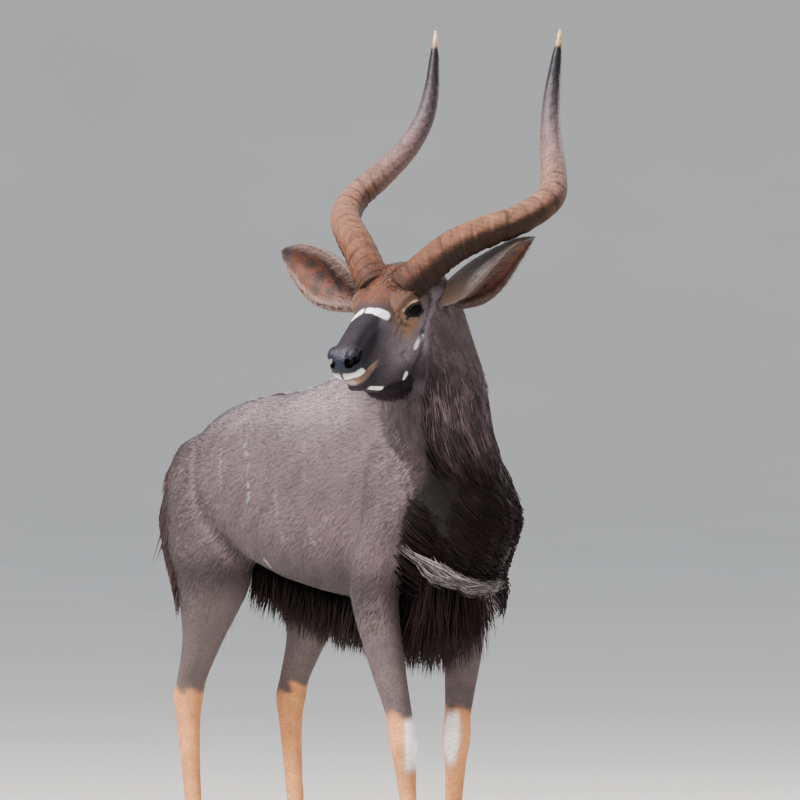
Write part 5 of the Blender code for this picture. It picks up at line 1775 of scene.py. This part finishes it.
def make_lashes(side, side_name):
    """Dark lashes along the upper lid."""
    draw = np.random.default_rng(321 + side)
    look, along, rise = (np.array(axis) for axis in eye_axes(side))
    middle = np.array(eye_middle(side))
    count = 130
    angle = draw.uniform(0.12, 0.88, count) * math.pi
    height = EYE_OPENING[1] * np.sin(angle) * (1 - LID_CORNER * np.abs(np.cos(angle)))
    flat = along * (EYE_OPENING[0] * np.cos(angle))[:, None] * 1.08 + rise * height[:, None] * 1.08
    reach = np.sqrt(np.maximum((EYE_RADIUS + 0.0020) ** 2 - np.sum(flat ** 2, axis=1), 1e-6))
    roots = middle + flat + look * reach[:, None]
    out = unit(flat * 0.8 + look * 0.012)
    start = unit(out + look * 0.6)
    finish = unit(out * 0.8 + rise * 0.15 - np.array((0, 0, 0.35)))
    dark = many(SHADES["lash"], count)
    hairs = {
        "root": roots, "normal": unit(roots - middle), "start": start, "finish": finish,
        "length": draw.uniform(0.007, 0.011, count), "width": np.full(count, 0.00040), "flatness": 0.8,
        "colour": dark, "tip": dark, "flat": unwrapped(roots),
    }
    name = f"lashes_{side_name}"
    return finished(name, hair_mesh(name, hairs, TUFT), fur_material(name, 0.4, 0.0))


def claw_mesh(foot, side):
    """One hoof claw, rounded at its edges, with faint growth rings."""
    rings = []
    for share in np.linspace(0.0, 1.0, CLAW_RINGS):
        half_width = CLAW_TOP[0] + (CLAW_SOLE[0] - CLAW_TOP[0]) * share
        half_length = CLAW_TOP[1] + (CLAW_SOLE[1] - CLAW_TOP[1]) * share
        tuck = 1 - 0.10 * max(share - 0.90, 0) / 0.10 - 0.05 * max(0.08 - share, 0) / 0.08
        wave = 1 + 0.006 * math.sin(share * 46)
        height = (HOOF_TOP_Z - 0.0003) * (1 - share)
        points = []
        for number in range(CLAW_SIDES):
            angle = 2 * math.pi * number / CLAW_SIDES
            forward = math.sin(angle)
            narrow = 1 - CLAW_TAPER * max(forward, 0.0) ** 2
            x = foot[0] + side * (CLAW_SPREAD + half_width * tuck * wave * math.cos(angle) * narrow)
            y = foot[1] - CLAW_FORWARD * share - half_length * tuck * wave * forward
            points.append(Vector((x, y, height)))
        rings.append(points)
    return loft(rings)


def make_hooves():
    """Each claw of each foot, and the two dewclaws behind it."""
    for leg_name in LEGS:
        line = LEG_LINES[leg_name]
        for claw_name, side in SIDES.items():
            mesh = claw_mesh(line[-1], side)
            height = places_of(mesh)[:, 2]
            sole = ramp(0.020, 0.0, height) * 0.7
            paint(mesh, mix(many(SHADES["hoof"], len(height)), SHADES["hoof_sole"], sole))
            node = f"hoof_{leg_name}_{claw_name}"
            finished(f"claw_{leg_name}_{claw_name}", mesh, hoof_material(), [node])
        out, back, rise = DEWCLAW_PLACE
        places = [Vector(line[-3]) + Vector((side * out, back, rise)) for side in SIDES.values()]
        mesh = joined([ball(place, DEWCLAW_RADII, DEWCLAW_TURN, 24) for place in places])
        paint(mesh, many(SHADES["hoof"], len(mesh.vertices)))
        finished(f"dewclaws_{leg_name}", mesh, hoof_material())


# The studio

CAMERA_PLACE = Vector((-9.10628, -17.80665, 1.33861))
CAMERA_TURN = math.radians(-27.0)
CAMERA_DROP = math.radians(0.9586)
PHOTO_WIDTH_PX = 800
FOCAL_PX = 10100
SENSOR_WIDTH = 36.0
CAMERA_REACH = 400.0

# Soft lights: name, place, target, size, power and colour
LIGHTS = [
    ("key_light", (-3.4, -0.6, 5.4), (0, 0.1, 0.9), 1.6, 1150.0, (1.0, 0.95, 0.92)),
    ("front_light", (-3.0, -6.0, 2.2), (0, 0.0, 0.9), 2.4, 160.0, (1.0, 0.98, 0.97)),
    ("side_light", (4.2, 1.2, 3.0), (0, 0.0, 0.9), 2.0, 150.0, (1.0, 0.97, 0.93)),
]
AIR_STRENGTH = 0.92

# The floor from its edge up the wall, as radius and height, and how far it lies under the hooves
STAGE_PROFILE = [(24.0, 0.0), (26.0, 0.20), (28.0, 0.80), (30.0, 2.0), (31.4, 4.0), (32.0, 6.5), (32.2, 9.0)]
STAGE_SIDES = 96
STAGE_DROP = 0.0005


def make_camera():
    data = bpy.data.cameras.new("camera")
    data.sensor_width = SENSOR_WIDTH
    data.lens = SENSOR_WIDTH * FOCAL_PX / PHOTO_WIDTH_PX
    data.clip_end = CAMERA_REACH
    camera = in_scene(data, "camera")
    camera.location = CAMERA_PLACE + SHIFT
    camera.rotation_euler = (math.pi / 2 - CAMERA_DROP, 0.0, CAMERA_TURN)
    bpy.context.scene.camera = camera


def soft_light(name, place, target, size, power, colour):
    data = bpy.data.lights.new(name, "AREA")
    data.shape = "DISK"
    data.size = size
    data.energy = power
    data.color = colour
    light = in_scene(data, name)
    light.location = place
    light.rotation_euler = (Vector(target) - Vector(place)).to_track_quat("-Z", "Y").to_euler()


def make_floor():
    """A pale floor that curves up into a wall far behind the animal."""
    bm = bmesh.new()
    turns = [2 * math.pi * number / STAGE_SIDES for number in range(STAGE_SIDES)]
    loops = [
        add_loop(bm, [Vector((radius * math.cos(turn), radius * math.sin(turn), height)) for turn in turns])
        for radius, height in STAGE_PROFILE
    ]
    bmesh.ops.edgeloop_fill(bm, edges=loops[0])
    bridged(bm, zip(loops, loops[1:]))
    bmesh.ops.recalc_face_normals(bm, faces=bm.faces)
    mesh = mesh_from(bm, "studio_floor")
    mesh.shade_smooth()
    material, nodes, links, shader = new_material("studio_floor")
    noise = object_noise(nodes, links, 0.8, 3.0)
    base = nodes.new("ShaderNodeRGB")
    base.outputs[0].default_value = (*SHADES["floor"], 1.0)
    links.new(varied_colour(nodes, links, base.outputs[0], noise, 0.97, 1.03), shader.inputs["Base Color"])
    preset(shader, {"Roughness": 0.9})
    mesh.materials.append(material)
    floor = in_scene(mesh, "studio_floor")
    floor.location = (0.0, 0.0, -STAGE_DROP)


def make_world():
    world = bpy.data.worlds.new("studio_air")
    world.use_nodes = True
    preset(world.node_tree.nodes["Background"], {"Color": (*SHADES["air"], 1.0), "Strength": AIR_STRENGTH})
    bpy.context.scene.world = world


# Sizes and colours that a user would change

class NyalaSizes(bpy.types.PropertyGroup):
    coat_scale: bpy.props.FloatProperty(
        name="Coat length", description="How long the short coat is, against its usual length", default=1.0,
        min=0.2, max=2.0,
    )
    mane_length: bpy.props.FloatProperty(
        name="Mane", description="Length of the longest hair of the throat", default=0.150, unit="LENGTH"
    )
    fringe_length: bpy.props.FloatProperty(
        name="Fringe", description="Length of the belly fringe", default=0.118, unit="LENGTH"
    )
    crest_length: bpy.props.FloatProperty(
        name="Crest", description="Length of the hair of the crest", default=0.060, unit="LENGTH"
    )
    tail_length: bpy.props.FloatProperty(
        name="Tail hair", description="Length of the hair of the tail", default=0.130, unit="LENGTH"
    )


class NyalaColours(bpy.types.PropertyGroup):
    mane: bpy.props.FloatVectorProperty(
        name="Mane", description="Colour of mane and fringe", default=SHADES["mane"], subtype="COLOR", size=3
    )
    white: bpy.props.FloatVectorProperty(
        name="Crest", description="Colour of the crest of the back", default=SHADES["white"], subtype="COLOR", size=3
    )


class NyalaOperator(bpy.types.Operator):
    """Makes a part of the nyala"""

    bl_options = {"REGISTER", "UNDO"}


class MakeSkin(NyalaOperator):
    """Makes the one skin of head, neck, trunk, legs and tail"""

    bl_idname = "nyala.skin"
    bl_label = "Skin"

    def execute(self, context):
        mesh = whole_skin()
        shaped_skin(mesh)
        points = places_of(mesh)
        paint(mesh, coat_colours(points))
        paint(mesh, nose_pad(points), "Wet")
        nodes = list(FLESH) + [f"{leg}_{part}" for leg in LEGS for part in ("upper", "lower")]
        finished("skin", mesh, skin_material(), nodes)
        return {"FINISHED"}


class MakeCoat(NyalaOperator):
    """Makes the short coat of every part of the body"""

    bl_idname = "nyala.coat"
    bl_label = "Short coat"

    def execute(self, context):
        scale = context.scene.nyala_sizes.coat_scale
        thin = 1

        def trunk_side(side):
            def density(points, _):
                weight = regions(points)
                own = (points[:, 0] * side >= 0) * (1 - weight["head"]) * (1 - weight["leg"]) * (1 - weight["neck"])
                return own * (1 - 0.9 * weight["tail"]) * (own > 0.02)
            return density

        def neck_density(points, _):
            weight = regions(points)["neck"]
            return weight * (weight > 0.02)

        def head_density(points, _):
            weight = regions(points)["head"]
            return weight * (weight > 0.02) * bare(points)

        def leg_density(points, _):
            weight = regions(points)["leg"]
            return weight * (weight > 0.02) * (1 + ramp(0.5, 0.3, points[:, 2])) * bare(points)

        make_short_coat("coat_trunk_left", trunk_side(1), 46000 // thin, 101, scale)
        make_short_coat("coat_trunk_right", trunk_side(-1), 46000 // thin, 102, scale)
        make_short_coat(
            "coat_neck", neck_density, 33500 // thin, 103, scale, width=0.0014, lift=0.26, contrast=0.50,
        )
        make_short_coat(
            "coat_head", head_density, 47000 // thin, 104, scale, lift=0.15, cell=0.006, contrast=0.26,
        )
        make_short_coat(
            "coat_legs", leg_density, 34000 // thin, 105, scale, lift=0.14, cell=0.009, contrast=0.25,
        )
        return {"FINISHED"}


class MakeLongHair(NyalaOperator):
    """Makes mane, crescent, fringes, crest, nape, tail, jaw hair, horn ruff and white marks"""

    bl_idname = "nyala.long_hair"
    bl_label = "Long hair"

    def execute(self, context):
        sizes, colours = context.scene.nyala_sizes, context.scene.nyala_colours
        make_throat_mane(sizes.mane_length, colours.mane)
        make_breast_crescent(sizes.mane_length)
        make_belly_fringe(sizes.fringe_length, colours.mane)
        make_crest(sizes.crest_length, colours.white)
        make_nape(sizes.crest_length, colours.mane)
        make_thigh_fringe(sizes.fringe_length)
        make_tail_hair(sizes.tail_length)
        make_jaw_fringe()
        make_horn_ruff()
        make_white_marks()
        return {"FINISHED"}


class MakeHorns(NyalaOperator):
    """Makes both horns"""

    bl_idname = "nyala.horns"
    bl_label = "Horns"

    def execute(self, context):
        for side_name, side in SIDES.items():
            make_horn(side, side_name)
        return {"FINISHED"}


class MakeEars(NyalaOperator):
    """Makes both ears and their hair"""

    bl_idname = "nyala.ears"
    bl_label = "Ears"

    def execute(self, context):
        for side_name in EARS:
            make_ear(side_name)
        return {"FINISHED"}


class MakeEyes(NyalaOperator):
    """Makes eyes, lids and lashes"""

    bl_idname = "nyala.eyes"
    bl_label = "Eyes"

    def execute(self, context):
        for side_name, side in SIDES.items():
            make_eye(side, side_name)
            make_lids(side, side_name)
            make_lashes(side, side_name)
        return {"FINISHED"}


class MakeHooves(NyalaOperator):
    """Makes hooves and dewclaws"""

    bl_idname = "nyala.hooves"
    bl_label = "Hooves"

    def execute(self, context):
        make_hooves()
        return {"FINISHED"}


class MakeStudio(NyalaOperator):
    """Makes floor, air, lights and camera"""

    bl_idname = "nyala.studio"
    bl_label = "Studio"

    def execute(self, context):
        make_floor()
        make_world()
        make_camera()
        for light in LIGHTS:
            soft_light(*light)
        return {"FINISHED"}


OPERATORS = (MakeSkin, MakeCoat, MakeLongHair, MakeHorns, MakeEars, MakeEyes, MakeHooves, MakeStudio)


class NyalaPanel(bpy.types.Panel):
    """Lists the parts that can be made"""

    bl_idname = "VIEW3D_PT_nyala"
    bl_label = "Nyala bull"
    bl_space_type = "VIEW_3D"
    bl_region_type = "UI"
    bl_category = "Nyala"

    def draw(self, context):
        for group in (context.scene.nyala_sizes, context.scene.nyala_colours):
            for name in group.__annotations__:
                self.layout.prop(group, name)
        for operator in OPERATORS:
            self.layout.operator(operator.bl_idname)


CLASSES = (NyalaSizes, NyalaColours, *OPERATORS, NyalaPanel)


def register():
    for cls in CLASSES:
        bpy.utils.register_class(cls)
    bpy.types.Scene.nyala_sizes = bpy.props.PointerProperty(type=NyalaSizes)
    bpy.types.Scene.nyala_colours = bpy.props.PointerProperty(type=NyalaColours)


def unregister():
    del bpy.types.Scene.nyala_colours
    del bpy.types.Scene.nyala_sizes
    for cls in reversed(CLASSES):
        bpy.utils.unregister_class(cls)


def main():
    register()
    bpy.ops.nyala.skin()
    bpy.ops.nyala.coat()
    bpy.ops.nyala.long_hair()
    bpy.ops.nyala.horns()
    bpy.ops.nyala.ears()
    bpy.ops.nyala.eyes()
    bpy.ops.nyala.hooves()
    bpy.ops.nyala.studio()


if __name__ == "__main__":
    main()
